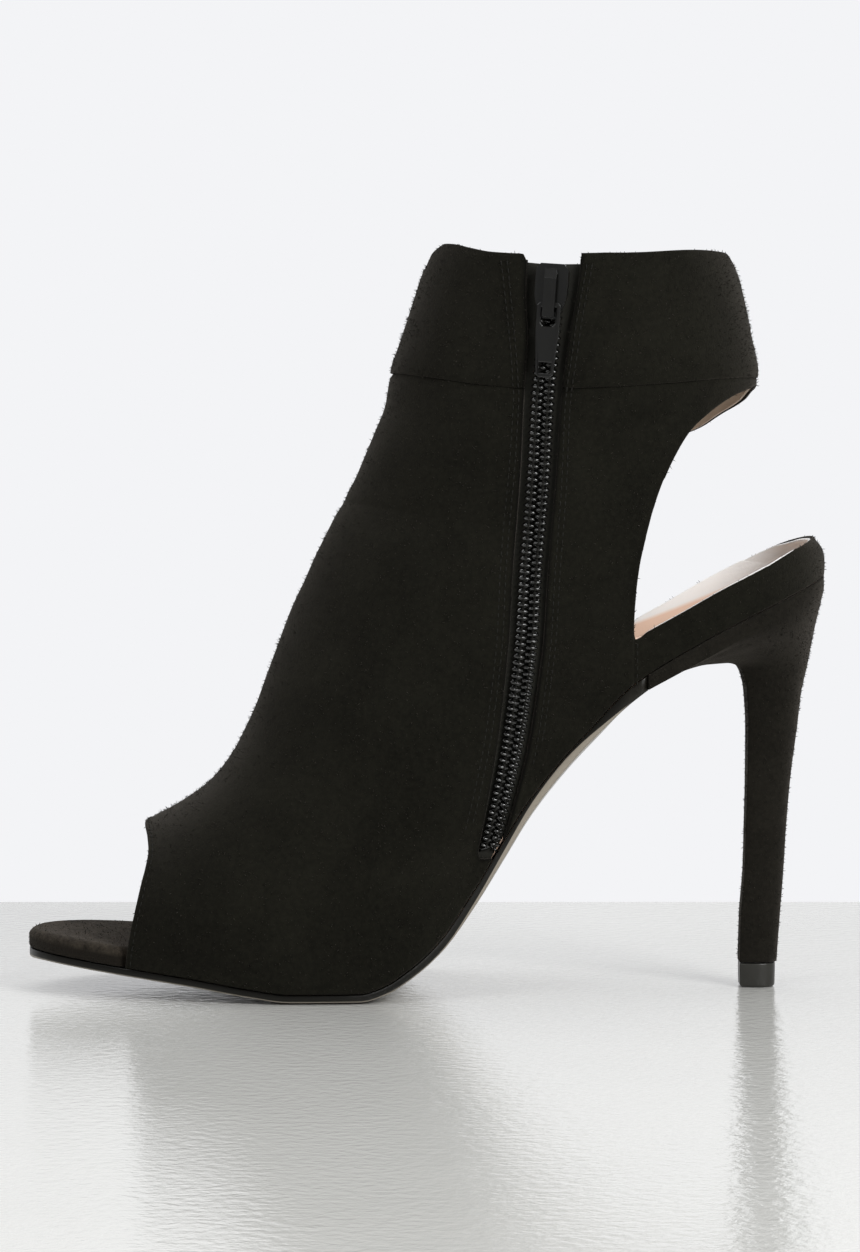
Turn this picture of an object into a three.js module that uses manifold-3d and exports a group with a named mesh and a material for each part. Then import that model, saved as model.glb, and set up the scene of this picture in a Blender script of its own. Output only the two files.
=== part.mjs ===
import * as THREE from "three";
import Module from "manifold-3d";

const wasm = await Module();
wasm.setup();

// Overall sizes in millimetres
const shoeLength = 201;
const heelHeight = 101.7;
const toeSpring = 8.5;
const collarHeight = 187.4;
const ballWidth = 78.6;
const waistWidth = 48.4;
const seatWidth = 52.6;
const shaftWidth = 63.4;

// Wall, sole and fits
const wall = 1.8;
const gap = 0.3;
const soleThickness = 2.4;
const soleInset = 0.9;
const waistCrown = 1.6;
const edgeLift = 0.6;
const insoleToe = 4.9;
const insoleWaist = 2.4;
const insoleEase = 0.85;
const seatEase = 0.8;
const cuffThickness = 0.9;
const cuffProud = 0.5;
const toeRound = 70;
const seatRound = 28;

// Heel
const heelShaftWidth = 9.6;
const tipHeight = 6.2;
const tipWidth = 8.8;

// Zip
const chainWidth = 6;
const chainThickness = 1.5;
const tapeWidth = 15;
const tapeLow = 8.6;
const tapeThickness = 0.6;
const tapeGap = 0.5;
const sliderWidth = 8;
const plateThickness = 1.3;
const bridgeWidth = 2.9;
const bridgeLength = 11.8;
const pullThickness = 1.2;
const pullLength = 17.8;
const ringWidth = 5.8;
const pullEndWidth = 4.3;
const runClear = 0.4;

// Places along the shoe are shares of its length, counted from the toe tip
const placeX = (share) => (share - 0.5) * shoeLength;

// A smooth curve through table values that never swings past them
function curve(xs, ys) {
  const n = xs.length;
  const step = xs.slice(1).map((x, i) => x - xs[i]);
  const rate = step.map((h, i) => (ys[i + 1] - ys[i]) / h);
  const slope = ys.map((y, i) => {
    if (i === 0) return rate[0];
    if (i === n - 1) return rate[n - 2];
    if (rate[i - 1] * rate[i] <= 0) return 0;
    const a = 2 * step[i] + step[i - 1];
    const b = step[i] + 2 * step[i - 1];
    return (a + b) / (a / rate[i - 1] + b / rate[i]);
  });
  return (x) => {
    if (x <= xs[0]) return ys[0] + slope[0] * (x - xs[0]);
    if (x >= xs[n - 1]) return ys[n - 1] + slope[n - 1] * (x - xs[n - 1]);
    let i = 0;
    while (x > xs[i + 1]) i++;
    const t = (x - xs[i]) / step[i];
    const u = 1 - t;
    return (
      (1 + 2 * t) * u * u * ys[i] + t * u * u * step[i] * slope[i] +
      t * t * (3 - 2 * t) * ys[i + 1] - t * t * u * step[i] * slope[i + 1]
    );
  };
}
const column = (table, key) => table.map((row) => row[key]);

// Underside of the sole: spring is a share of the toe spring, rise of the heel height
const groundTable = [
  { at: 0.0, spring: 1.0, rise: 0 },
  { at: 0.052, spring: 0.88, rise: 0 },
  { at: 0.127, spring: 0.68, rise: 0 },
  { at: 0.211, spring: 0.42, rise: 0 },
  { at: 0.286, spring: 0.13, rise: 0 },
  { at: 0.331, spring: 0, rise: 0 },
  { at: 0.42, spring: 0, rise: 0 },
  { at: 0.45, spring: 0, rise: 0.016 },
  { at: 0.485, spring: 0, rise: 0.058 },
  { at: 0.522, spring: 0, rise: 0.123 },
  { at: 0.56, spring: 0, rise: 0.227 },
  { at: 0.597, spring: 0, rise: 0.345 },
  { at: 0.629, spring: 0, rise: 0.447 },
  { at: 0.669, spring: 0, rise: 0.549 },
  { at: 0.712, spring: 0, rise: 0.642 },
  { at: 0.759, spring: 0, rise: 0.738 },
  { at: 0.833, spring: 0, rise: 0.833 },
  { at: 0.898, spring: 0, rise: 0.902 },
  { at: 0.962, spring: 0, rise: 0.963 },
  { at: 1.0, spring: 0, rise: 1.0 },
];
const groundPlaces = column(groundTable, "at").map(placeX);
const ground = curve(groundPlaces, groundTable.map((r) => r.spring * toeSpring + r.rise * heelHeight));
const slopeAt = (x) => (ground(x + 0.5) - ground(x - 0.5)) / 1;
// Height of a layer that lies a given thickness above the sole's underside, square to it
const layer = (x, thickness) => ground(x) + thickness * Math.hypot(1, slopeAt(x));
const feather = (x) => layer(x, soleThickness + gap);

// Plan outline: weights of the ball and seat widths, the rest is the waist's, side is a share of the ball width
const outlineTable = [
  { at: 0.0, ball: 1, seat: 0, side: -0.06 },
  { at: 0.025, ball: 1, seat: 0, side: -0.038 },
  { at: 0.06, ball: 1, seat: 0, side: -0.026 },
  { at: 0.124, ball: 1, seat: 0, side: -0.019 },
  { at: 0.2, ball: 1, seat: 0, side: -0.009 },
  { at: 0.274, ball: 1, seat: 0, side: -0.005 },
  { at: 0.348, ball: 1, seat: 0, side: -0.003 },
  { at: 0.4, ball: 0.99, seat: 0, side: 0.003 },
  { at: 0.473, ball: 0.83, seat: 0, side: 0.016 },
  { at: 0.547, ball: 0.53, seat: 0, side: 0.022 },
  { at: 0.622, ball: 0.23, seat: 0, side: 0.016 },
  { at: 0.697, ball: 0.05, seat: 0, side: 0.006 },
  { at: 0.771, ball: 0, seat: 0.1, side: 0 },
  { at: 0.846, ball: 0, seat: 0.7, side: 0 },
  { at: 0.92, ball: 0, seat: 1, side: 0 },
  { at: 1.0, ball: 0, seat: 1, side: 0 },
];
const outlinePlaces = column(outlineTable, "at").map(placeX);
const plainHalf = curve(outlinePlaces, outlineTable.map((r) =>
  (r.ball * ballWidth + r.seat * seatWidth + (1 - r.ball - r.seat) * waistWidth) / 2));
const middleLine = curve(outlinePlaces, outlineTable.map((r) => r.side * ballWidth));
const roundOff = (distance, radius) =>
  distance >= radius ? 1 : Math.sqrt(Math.max(0, 1 - (1 - Math.max(0, distance) / radius) ** 2));
const outlineHalf = (x) =>
  plainHalf(x) * roundOff(x + shoeLength / 2, toeRound) * roundOff(shoeLength / 2 - x, seatRound);

// Sections of the upper. The first rows stand on the feather line and run up to the ridge.
// foot and top are places along the shoe, rise is the ridge's share of the collar height,
// ball and shaft weigh the two widths, side and ridge are sideways shares of the ball width,
// wide is where along the section it is widest, swell and high shape it below and above that,
// cup is how far its back follows the plan outline.
const soleSections = [
  { foot: 0.127, top: 0.144, rise: 0.226, ball: 0.795, shaft: 0, side: -0.019, ridge: -0.06, wide: 0.24, swell: 1, high: 2.1, cup: 1 },
  { foot: 0.211, top: 0.192, rise: 0.2535, ball: 0.953, shaft: 0, side: -0.008, ridge: -0.062, wide: 0.24, swell: 1, high: 2.0, cup: 1 },
  { foot: 0.286, top: 0.229, rise: 0.283, ball: 1.008, shaft: 0, side: -0.003, ridge: -0.062, wide: 0.25, swell: 1, high: 1.9, cup: 1 },
  { foot: 0.351, top: 0.256, rise: 0.32, ball: 1.01, shaft: 0, side: 0, ridge: -0.06, wide: 0.26, swell: 1, high: 1.8, cup: 1 },
  { foot: 0.415, top: 0.273, rise: 0.3555, ball: 1.005, shaft: 0, side: 0.003, ridge: -0.055, wide: 0.28, swell: 1, high: 1.75, cup: 1 },
  { foot: 0.475, top: 0.287, rise: 0.388, ball: 0.98, shaft: 0, side: 0.01, ridge: -0.05, wide: 0.3, swell: 0.95, high: 1.75, cup: 1 },
  { foot: 0.53, top: 0.3005, rise: 0.427, ball: 0.84, shaft: 0.13, side: 0.015, ridge: -0.045, wide: 0.33, swell: 0.9, high: 1.75, cup: 1 },
  { foot: 0.58, top: 0.3155, rise: 0.472, ball: 0.6, shaft: 0.38, side: 0.018, ridge: -0.04, wide: 0.36, swell: 0.85, high: 1.75, cup: 1 },
  { foot: 0.634, top: 0.331, rise: 0.516, ball: 0.36, shaft: 0.63, side: 0.017, ridge: -0.032, wide: 0.4, swell: 0.85, high: 1.75, cup: 1 },
  { foot: 0.694, top: 0.3465, rise: 0.551, ball: 0.18, shaft: 0.825, side: 0.014, ridge: -0.025, wide: 0.43, swell: 0.85, high: 1.8, cup: 1 },
  { foot: 0.759, top: 0.359, rise: 0.5815, ball: 0.08, shaft: 0.92, side: 0.01, ridge: -0.019, wide: 0.46, swell: 0.9, high: 1.8, cup: 1 },
  { foot: 0.823, top: 0.3705, rise: 0.6065, ball: 0.04, shaft: 0.954, side: 0.006, ridge: -0.013, wide: 0.48, swell: 0.95, high: 1.85, cup: 1 },
  { foot: 0.898, top: 0.38, rise: 0.627, ball: 0.02, shaft: 0.97, side: 0.003, ridge: -0.007, wide: 0.5, swell: 1, high: 1.9, cup: 1 },
  { foot: 0.958, top: 0.387, rise: 0.641, ball: 0, shaft: 0.99, side: 0.002, ridge: -0.005, wide: 0.5, swell: 1, high: 1.92, cup: 1 },
  { foot: 0.982, top: 0.3915, rise: 0.6485, ball: 0, shaft: 0.989, side: 0.0015, ridge: -0.0042, wide: 0.5, swell: 1, high: 1.93, cup: 1 },
  { foot: 0.9945, top: 0.3945, rise: 0.6535, ball: 0, shaft: 0.9885, side: 0.0013, ridge: -0.0038, wide: 0.5, swell: 1, high: 1.935, cup: 1 },
  { foot: 1.0, top: 0.396, rise: 0.656, ball: 0, shaft: 0.988, side: 0.0012, ridge: -0.0036, wide: 0.5, swell: 1, high: 1.94, cup: 1 },
];
// The rows above them are closed rings: foot and sole give the back point, sole as a share of the collar height
const shaftSections = [
  { foot: 1.0, sole: 0.5765, top: 0.399, rise: 0.6645, ball: 0, shaft: 0.986, side: 0.001, ridge: -0.003, wide: 0.5, swell: 1, high: 1.95, cup: 1 },
  { foot: 0.9885, sole: 0.6055, top: 0.4085, rise: 0.684, ball: 0, shaft: 0.983, side: 0.0005, ridge: -0.0015, wide: 0.5, swell: 1, high: 1.98, cup: 0.9 },
  { foot: 0.95, sole: 0.667, top: 0.4205, rise: 0.714, ball: 0, shaft: 0.98, side: 0, ridge: 0, wide: 0.5, swell: 1, high: 2.0, cup: 0.5 },
  { foot: 0.92, sole: 0.736, top: 0.4355, rise: 0.7525, ball: 0, shaft: 0.98, side: 0, ridge: 0, wide: 0.49, swell: 1, high: 2.05, cup: 0.15 },
  { foot: 0.912, sole: 0.79, top: 0.448, rise: 0.787, ball: 0, shaft: 0.985, side: 0, ridge: 0, wide: 0.48, swell: 1, high: 2.1, cup: 0 },
  { foot: 0.9145, sole: 0.82, top: 0.4525, rise: 0.8165, ball: 0, shaft: 0.99, side: 0, ridge: 0, wide: 0.48, swell: 1, high: 2.1, cup: 0 },
  { foot: 0.9055, sole: 0.875, top: 0.4705, rise: 0.875, ball: 0, shaft: 1.0, side: 0, ridge: 0, wide: 0.48, swell: 1, high: 2.1, cup: 0 },
  { foot: 0.893, sole: 0.939, top: 0.49, rise: 0.939, ball: 0, shaft: 1.0, side: 0, ridge: 0, wide: 0.48, swell: 1, high: 2.1, cup: 0 },
  { foot: 0.8825, sole: 0.98, top: 0.501, rise: 0.98, ball: 0, shaft: 0.995, side: 0, ridge: 0, wide: 0.48, swell: 1, high: 2.1, cup: 0 },
  { foot: 0.873, sole: 1.02, top: 0.512, rise: 1.02, ball: 0, shaft: 0.985, side: 0, ridge: 0, wide: 0.48, swell: 1, high: 2.1, cup: 0 },
];
const sections = [
  ...soleSections.map((r) => ({ ...r, bx: placeX(r.foot), bz: feather(placeX(r.foot)) })),
  ...shaftSections.map((r) => ({ ...r, bx: placeX(r.foot), bz: r.sole * collarHeight })),
].map((r) => ({
  bx: r.bx,
  bz: r.bz,
  tx: placeX(r.top),
  tz: r.rise * collarHeight,
  half: (r.ball * ballWidth + r.shaft * shaftWidth) / 2,
  mid: r.side * ballWidth,
  ridge: r.ridge * ballWidth,
  wide: r.wide,
  swell: r.swell,
  high: r.high,
  cup: r.cup,
}));
// Each section's station is the mean way that its two ends have travelled
const stations = [0];
sections.slice(1).forEach((r, i) => {
  const q = sections[i];
  stations.push(stations[i] + (Math.hypot(r.bx - q.bx, r.bz - q.bz) + Math.hypot(r.tx - q.tx, r.tz - q.tz)) / 2);
});
const closing = stations[soleSections.length - 1];
const sectionCurves = Object.fromEntries(
  Object.keys(sections[0]).map((key) => [key, curve(stations, column(sections, key))]));

function sectionAt(p) {
  const s = Object.fromEntries(Object.entries(sectionCurves).map(([key, f]) => [key, f(p)]));
  if (p < closing) s.bz = feather(s.bx);
  s.open = p < closing - 1e-6;
  s.foot = s.open ? outlineHalf(s.bx) : 0;
  s.shift = s.open ? 0 : shoeLength / 2 - s.bx;
  return s;
}

// Sideways place of the skin on one side (-1 medial, 1 lateral) at a share t of the section
function skinY(s, t, side) {
  const widest = s.mid + side * s.half;
  if (t >= s.wide) {
    const up = Math.min(1, (t - s.wide) / (1 - s.wide));
    return s.ridge + (widest - s.ridge) * Math.sqrt(Math.max(0, 1 - up ** s.high));
  }
  const down = Math.max(0, Math.min(1, 1 - t / s.wide));
  const x = s.bx + (s.tx - s.bx) * Math.max(0, t) + s.shift;
  const base = middleLine(x) + side * outlineHalf(x);
  const swell = Math.sin((Math.PI / 2) * (1 - down) ** s.swell) ** 2;
  const cupped = base + (widest - base) * swell;
  const oval = widest * Math.sqrt(1 - down ** 2.2);
  return oval + (cupped - oval) * s.cup;
}

// A point of the skin: c runs from -1 at the medial feather over 0 at the ridge to 1 at the lateral feather
function skin(p, c) {
  const s = sectionAt(p);
  const h = 1 - Math.abs(c);
  const grip = Math.min(1, s.foot / s.half) ** 2;
  let t;
  if (h < 0.5) {
    const round = 1 - Math.cos(Math.PI * h);
    t = s.wide * (round + (2 * h - round) * grip);
  } else {
    t = s.wide + (1 - s.wide) * Math.sin(Math.PI * (h - 0.5));
  }
  return new THREE.Vector3(s.bx + (s.tx - s.bx) * t, skinY(s, t, Math.sign(c) || 1), s.bz + (s.tz - s.bz) * t);
}

// Outward direction of the skin
function skinNormal(p, c) {
  const wrap = p >= closing - 1e-6;
  const over = (v) => (wrap ? (v > 1 ? v - 2 : v < -1 ? v + 2 : v) : Math.max(-1, Math.min(1, v)));
  const along = skin(p + 0.4, c).sub(skin(Math.max(wrap ? closing : -9, p - 0.4), c));
  const across = skin(p, over(c + 0.02)).sub(skin(p, over(c - 0.02)));
  return along.cross(across).normalize();
}

// A closed solid from points and faces, with coinciding points joined
function solid(points, faces) {
  const index = new Map();
  const kept = [];
  const id = points.map((v) => {
    const key = [v.x, v.y, v.z].map((n) => Math.round(n * 2000)).join();
    if (!index.has(key)) {
      index.set(key, kept.length / 3);
      kept.push(v.x, v.y, v.z);
    }
    return index.get(key);
  });
  const tris = faces
    .map((f) => f.map((i) => id[i]))
    .filter(([a, b, c]) => a !== b && b !== c && c !== a);
  const made = new wasm.Manifold(new wasm.Mesh({
    numProp: 3,
    vertProperties: new Float32Array(kept),
    triVerts: new Uint32Array(tris.flat()),
  }));
  return made;
}
const quad = (a, b, c, d) => [[a, b, c], [a, c, d]];

// A solid between two grids of points of the same size, outer over inner; rings close on themselves
function between(outer, inner, ringFrom = Infinity) {
  const rows = outer.length;
  const cols = outer[0].length;
  const points = [...outer.flat(), ...inner.flat()];
  const o = (i, j) => i * cols + j;
  const n = (i, j) => rows * cols + i * cols + j;
  const faces = [];
  for (let i = 0; i < rows - 1; i++) {
    for (let j = 0; j < cols - 1; j++) {
      faces.push(...quad(o(i, j), o(i + 1, j), o(i + 1, j + 1), o(i, j + 1)));
      faces.push(...quad(n(i, j), n(i, j + 1), n(i + 1, j + 1), n(i + 1, j)));
    }
    if (i < ringFrom) {
      faces.push(...quad(o(i, 0), n(i, 0), n(i + 1, 0), o(i + 1, 0)));
      faces.push(...quad(o(i, cols - 1), o(i + 1, cols - 1), n(i + 1, cols - 1), n(i, cols - 1)));
    }
  }
  for (let j = 0; j < cols - 1; j++) {
    faces.push(...quad(o(0, j), o(0, j + 1), n(0, j + 1), n(0, j)));
    faces.push(...quad(o(rows - 1, j), n(rows - 1, j), n(rows - 1, j + 1), o(rows - 1, j + 1)));
  }
  return solid(points, faces);
}

// A layer of the upper between two distances from its skin, over the stations from first to last
function skinLayer(first, last, over, under, halfColumns = 15, stride = 8) {
  const marks = [first, ...stations.filter((p) => p > first + 0.5 && p < last - 0.5), last];
  const rows = marks.slice(1).flatMap((end, i) => {
    const atSeat = end > stations[11] + 0.1 && end < stations[13] + 0.1;
    const count = Math.max(1, Math.round((end - marks[i]) / (atSeat ? stride / 2 : stride)));
    return Array.from({ length: count }, (_, k) => marks[i] + ((end - marks[i]) * k) / count);
  });
  rows.push(last);
  const outer = [];
  const inner = [];
  for (const p of rows) {
    const points = [];
    const normals = [];
    for (let j = 0; j <= 2 * halfColumns; j++) {
      const c = j / halfColumns - 1;
      points.push(skin(p, c));
      normals.push(skinNormal(p, c));
    }
    if (p >= closing - 1e-6) {
      const seam = normals[0].clone().add(normals[2 * halfColumns]).normalize();
      normals[0] = seam;
      normals[2 * halfColumns] = seam;
      points[2 * halfColumns] = points[0].clone();
    }
    outer.push(points.map((v, j) => v.clone().addScaledVector(normals[j], over)));
    inner.push(points.map((v, j) => v.clone().addScaledVector(normals[j], under)));
  }
  return between(outer, inner, rows.findIndex((p) => p >= closing - 1e-6));
}

// A side-view outline drawn through the shoe, its lateral face given by a second outline of as many points
function sideCutter(near, far, nearY, farY) {
  const flat = near.map(([x, z]) => new THREE.Vector2(x, z));
  const turn = (i, j, k) => (flat[j].clone().sub(flat[i])).cross(flat[k].clone().sub(flat[i]));
  const sense = Math.sign(THREE.ShapeUtils.area(flat));
  const tris = THREE.ShapeUtils.triangulateShape(flat, [])
    .map(([a, b, c]) => (turn(a, b, c) * sense < 0 ? [a, c, b] : [a, b, c]));
  const count = near.length;
  const points = [
    ...near.map(([x, z]) => new THREE.Vector3(x, nearY, z)),
    ...far.map(([x, z]) => new THREE.Vector3(x, farY, z)),
  ];
  const faces = [];
  tris.forEach(([a, b, c]) => {
    faces.push([a, b, c], [a + count, c + count, b + count]);
  });
  for (let i = 0; i < count; i++) {
    const k = (i + 1) % count;
    faces.push(...quad(i, i + count, k + count, k));
  }
  const made = solid(points, faces);
  return made.volume() > 0 ? made : solid(points, faces.map(([a, b, c]) => [a, c, b]));
}
// Side-view tables hold a place along the shoe and a share of the collar height
const sidePoint = (r) => [placeX(r.at), r.up * collarHeight];

// Open back of the ankle: front edge from the counter's corner up to the strap, then the counter's top line
const openingEdge = [
  { at: 0.7585, up: 0.478 },
  { at: 0.7555, up: 0.492 },
  { at: 0.757, up: 0.53 },
  { at: 0.7615, up: 0.575 },
  { at: 0.768, up: 0.607 },
  { at: 0.778, up: 0.647 },
  { at: 0.7915, up: 0.687 },
  { at: 0.807, up: 0.722 },
  { at: 0.823, up: 0.747 },
  { at: 0.837, up: 0.76 },
  { at: 0.855, up: 0.776 },
  { at: 0.876, up: 0.7925 },
  { at: 0.905, up: 0.804 },
  { at: 0.96, up: 0.816 },
  { at: 1.08, up: 0.816 },
  { at: 1.08, up: 0.62 },
  { at: 0.993, up: 0.6065 },
  { at: 0.972, up: 0.5985 },
  { at: 0.92, up: 0.569 },
  { at: 0.864, up: 0.539 },
  { at: 0.812, up: 0.507 },
  { at: 0.772, up: 0.483 },
  { at: 0.763, up: 0.478 },
];
const edgeShift = 2.4;
const openingShape = openingEdge.map(sidePoint);
const bend = (p, i) => [p[0], p[1] + (i >= 9 && i <= 14 ? -1 : i >= 15 && i <= 21 ? 1 : 0) * edgeShift];
const ankleOpening = () => sideCutter(openingShape, openingShape.map(bend), -45, 45);

// Edge of the toe opening from the sole up to the ridge
const toeOpening = [
  { at: 0.1285, up: 0 },
  { at: 0.129, up: 0.036 },
  { at: 0.133, up: 0.074 },
  { at: 0.14, up: 0.113 },
  { at: 0.144, up: 0.133 },
  { at: 0.149, up: 0.158 },
  { at: 0.153, up: 0.176 },
  { at: 0.1555, up: 0.195 },
  { at: 0.1525, up: 0.213 },
  { at: 0.1455, up: 0.2275 },
  { at: 0.138, up: 0.24 },
];
const toeCut = () => {
  const line = toeOpening.map(sidePoint);
  const shape = [[-shoeLength / 2, 0], ...line, [-shoeLength / 2, line.at(-1)[1] + 9]];
  return sideCutter(shape, shape, -60, 60);
};

// Top line of the collar and the seam under the cuff
const collarEdge = [
  { at: 0.47, up: 0.95 },
  { at: 0.498, up: 0.968 },
  { at: 0.5035, up: 0.979 },
  { at: 0.5075, up: 0.988 },
  { at: 0.5155, up: 0.9957 },
  { at: 0.5235, up: 1.0 },
  { at: 0.535, up: 0.9985 },
  { at: 0.553, up: 0.993 },
  { at: 0.58, up: 0.9865 },
  { at: 0.63, up: 0.983 },
  { at: 0.75, up: 0.9845 },
  { at: 0.84, up: 0.99 },
  { at: 0.87, up: 0.9885 },
  { at: 0.885, up: 0.972 },
  { at: 0.93, up: 0.95 },
];
const cuffSeam = [
  { at: 0.4, up: 0.828 },
  { at: 0.452, up: 0.828 },
  { at: 0.5, up: 0.822 },
  { at: 0.57, up: 0.811 },
  { at: 0.64, up: 0.8055 },
  { at: 0.72, up: 0.808 },
  { at: 0.8, up: 0.8135 },
  { at: 0.87, up: 0.82 },
  { at: 0.915, up: 0.8225 },
  { at: 1.0, up: 0.8225 },
];
const outward = 1.2 * collarHeight;
const aboveCollar = () => {
  const line = collarEdge.map(sidePoint);
  const shape = [[-60, 0.9 * collarHeight], ...line, [120, 0.9 * collarHeight], [120, outward], [-60, outward]];
  return sideCutter(shape, shape, -60, 60);
};
const aboveSeam = (lift) => {
  const line = cuffSeam.map(sidePoint).map(([x, z]) => [x, z + lift]);
  const shape = [...line, [line.at(-1)[0], outward], [line[0][0], outward]];
  return sideCutter(shape, shape, -60, 60);
};

// Centre line of the zip down the medial side, with the half width of the slot in the suede
const zipTable = [
  { up: 1.05, at: 0.6575, slot: 6.6 },
  { up: 0.965, at: 0.6545, slot: 6.5 },
  { up: 0.93, at: 0.652, slot: 6.2 },
  { up: 0.87, at: 0.6482, slot: 5.0 },
  { up: 0.794, at: 0.6413, slot: 4.6 },
  { up: 0.697, at: 0.6363, slot: 4.4 },
  { up: 0.56, at: 0.6264, slot: 4.3 },
  { up: 0.481, at: 0.6229, slot: 4.3 },
  { up: 0.412, at: 0.6164, slot: 4.2 },
  { up: 0.341, at: 0.6075, slot: 4.1 },
  { up: 0.271, at: 0.5945, slot: 4.0 },
  { up: 0.224, at: 0.584, slot: 3.8 },
  { up: 0.207, at: 0.5795, slot: 2.9 },
  { up: 0.195, at: 0.5765, slot: 1.2 },
].reverse();
const zipHeights = column(zipTable, "up").map((up) => up * collarHeight);
const zipX = curve(zipHeights, zipTable.map((r) => placeX(r.at)));
const slotHalf = curve(zipHeights, column(zipTable, "slot"));
const zipSlot = () => {
  const heights = Array.from({ length: 25 }, (_, i) =>
    zipHeights[0] + (zipHeights.at(-1) - zipHeights[0]) * (i / 24) ** 1.4);
  const sideOf = (sign) => heights.map((z) => {
    const lean = (zipX(z + 1) - zipX(z - 1)) / 2;
    const across = 1 / Math.hypot(1, lean);
    return [zipX(z) + sign * slotHalf(z) * across, z - sign * slotHalf(z) * lean * across];
  });
  const shape = [...sideOf(1), ...sideOf(-1).reverse()];
  return sideCutter(shape, shape, -60, -2);
};

// Sideways place of the medial skin at a place in the side view
function medialY(x, z) {
  let low = stations[4];
  let high = stations.at(-1);
  for (let i = 0; i < 40; i++) {
    const p = (low + high) / 2;
    const s = sectionAt(p);
    const behind = (s.tx - s.bx) * (z - s.bz) - (s.tz - s.bz) * (x - s.bx);
    if (behind < 0) low = p;
    else high = p;
  }
  const s = sectionAt((low + high) / 2);
  const dx = s.tx - s.bx;
  const dz = s.tz - s.bz;
  return skinY(s, ((x - s.bx) * dx + (z - s.bz) * dz) / (dx * dx + dz * dz), -1);
}
function medialFrame(x, z) {
  const origin = new THREE.Vector3(x, medialY(x, z), z);
  const slopeX = (medialY(x + 1, z) - medialY(x - 1, z)) / 2;
  const slopeZ = (medialY(x, z + 1) - medialY(x, z - 1)) / 2;
  return { origin, out: new THREE.Vector3(slopeX, -1, slopeZ).normalize() };
}

// A strip that follows the zip between two heights, over and under being distances from the skin
function zipStrip(bottom, top, half, over, under, crown, endRound) {
  const rows = 22;
  const cols = 4;
  const outer = [];
  const inner = [];
  for (let i = 0; i <= rows; i++) {
    const z = bottom + ((top - bottom) * i) / rows;
    const lean = (zipX(z + 1) - zipX(z - 1)) / 2;
    const narrow = roundOff(z - bottom + 0.3, endRound) * roundOff(top - z + 0.3, endRound / 3);
    const upper = [];
    const lower = [];
    for (let j = 0; j <= cols; j++) {
      const side = (2 * j) / cols - 1;
      const reach = (side * half(z) * narrow) / Math.hypot(1, lean);
      const { origin, out } = medialFrame(zipX(z) + reach, z - reach * lean);
      upper.push(origin.clone().addScaledVector(out, over - crown * side * side));
      lower.push(origin.clone().addScaledVector(out, under));
    }
    outer.push(upper);
    inner.push(lower);
  }
  const made = between(outer, inner);
  return made.volume() > 0 ? made : between(inner, outer);
}

// A slab in plan between two heights. Each row is a place on the outline and its inset from there.
function slab(places, under, over, cols) {
  const half = shoeLength / 2;
  const edgeY = (x, side) => middleLine(x) + side * outlineHalf(x);
  const lower = [];
  const upper = [];
  for (const { x, inset, square } of places) {
    const ends = [-1, 1].map((side) => {
      const x0 = Math.max(-half, x - 0.01);
      const x1 = Math.min(half, x + 0.01);
      const lean = side * (edgeY(x1, side) - edgeY(x0, side)) / (x1 - x0);
      const out = new THREE.Vector2(-lean, 1).normalize();
      if (x <= -half + 1e-6) out.set(-1, 0);
      if (x >= half - 1e-6) out.set(1, 0);
      return [square ? x : x - out.x * inset, edgeY(x, side) - side * out.y * inset];
    });
    const row = Array.from({ length: cols + 1 }, (_, j) => {
      const t = j / cols;
      return [ends[0][0] + (ends[1][0] - ends[0][0]) * t, ends[0][1] + (ends[1][1] - ends[0][1]) * t, 2 * t - 1];
    });
    upper.push(row.map(([a, b, t]) => new THREE.Vector3(a, b, over(a, t))));
    lower.push(row.map(([a, b, t]) => new THREE.Vector3(a, b, under(a, t))));
  }
  const made = between(upper, lower);
  return made.volume() > 0 ? made : between(lower, upper);
}
// Places from one to another, close together where an end is round
function rounded(from, to, count, roundFrom, roundTo) {
  return Array.from({ length: count + 1 }, (_, i) => {
    const q = i / count;
    let share = q;
    if (roundFrom && roundTo) share = (1 - Math.cos(Math.PI * q)) / 2;
    else if (roundFrom) share = 1 - Math.cos((Math.PI / 2) * q);
    else if (roundTo) share = Math.sin((Math.PI / 2) * q);
    return from + (to - from) * share;
  });
}

// The upper: one wall, opened at the toe, under the foot, at the back of the ankle, at the collar and for the zip
const lastStation = stations.at(-1);
const seamStation = stations[soleSections.length + 2];
const cuffBed = cuffThickness + gap - cuffProud;
let upper = skinLayer(-4, lastStation, 0, -wall);
const rebate = skinLayer(seamStation, lastStation, 3, -cuffBed).intersect(aboveSeam(0));
upper = upper.subtract(toeCut()).subtract(rebate).subtract(ankleOpening()).subtract(zipSlot()).subtract(aboveCollar());
const cuff = skinLayer(seamStation, lastStation, cuffProud, cuffProud - cuffThickness)
  .intersect(aboveSeam(gap))
  .subtract(zipSlot())
  .subtract(ankleOpening())
  .subtract(aboveCollar());

// Insole: full outline in front of the upper, inside its wall behind it
const toeEdge = placeX(toeOpening[0].at);
const stepOut = 0.45;
const insoleInset = (x) => {
  const atSeat = Math.min(1, Math.max(0, (x - placeX(0.8)) / (placeX(0.88) - placeX(0.8))));
  return wall + insoleEase + seatEase * atSeat;
};
const insoleRows = [
  ...rounded(-shoeLength / 2, toeEdge - stepOut, 14, true, false).map((x) => ({ x, inset: 0 })),
  ...rounded(toeEdge - stepOut - 0.7, shoeLength / 2, 38, false, true).map((x) => ({ x, inset: insoleInset(x) })),
];
const insoleThickness = (x) => {
  const t = Math.min(1, Math.max(0, (x - placeX(0.2)) / (placeX(0.5) - placeX(0.2))));
  return insoleToe + (insoleWaist - insoleToe) * t * t * (3 - 2 * t);
};
const insole = slab(insoleRows, (x) => feather(x),
  (x) => feather(x) + insoleThickness(x) * Math.hypot(1, slopeAt(x)), 4);

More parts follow.
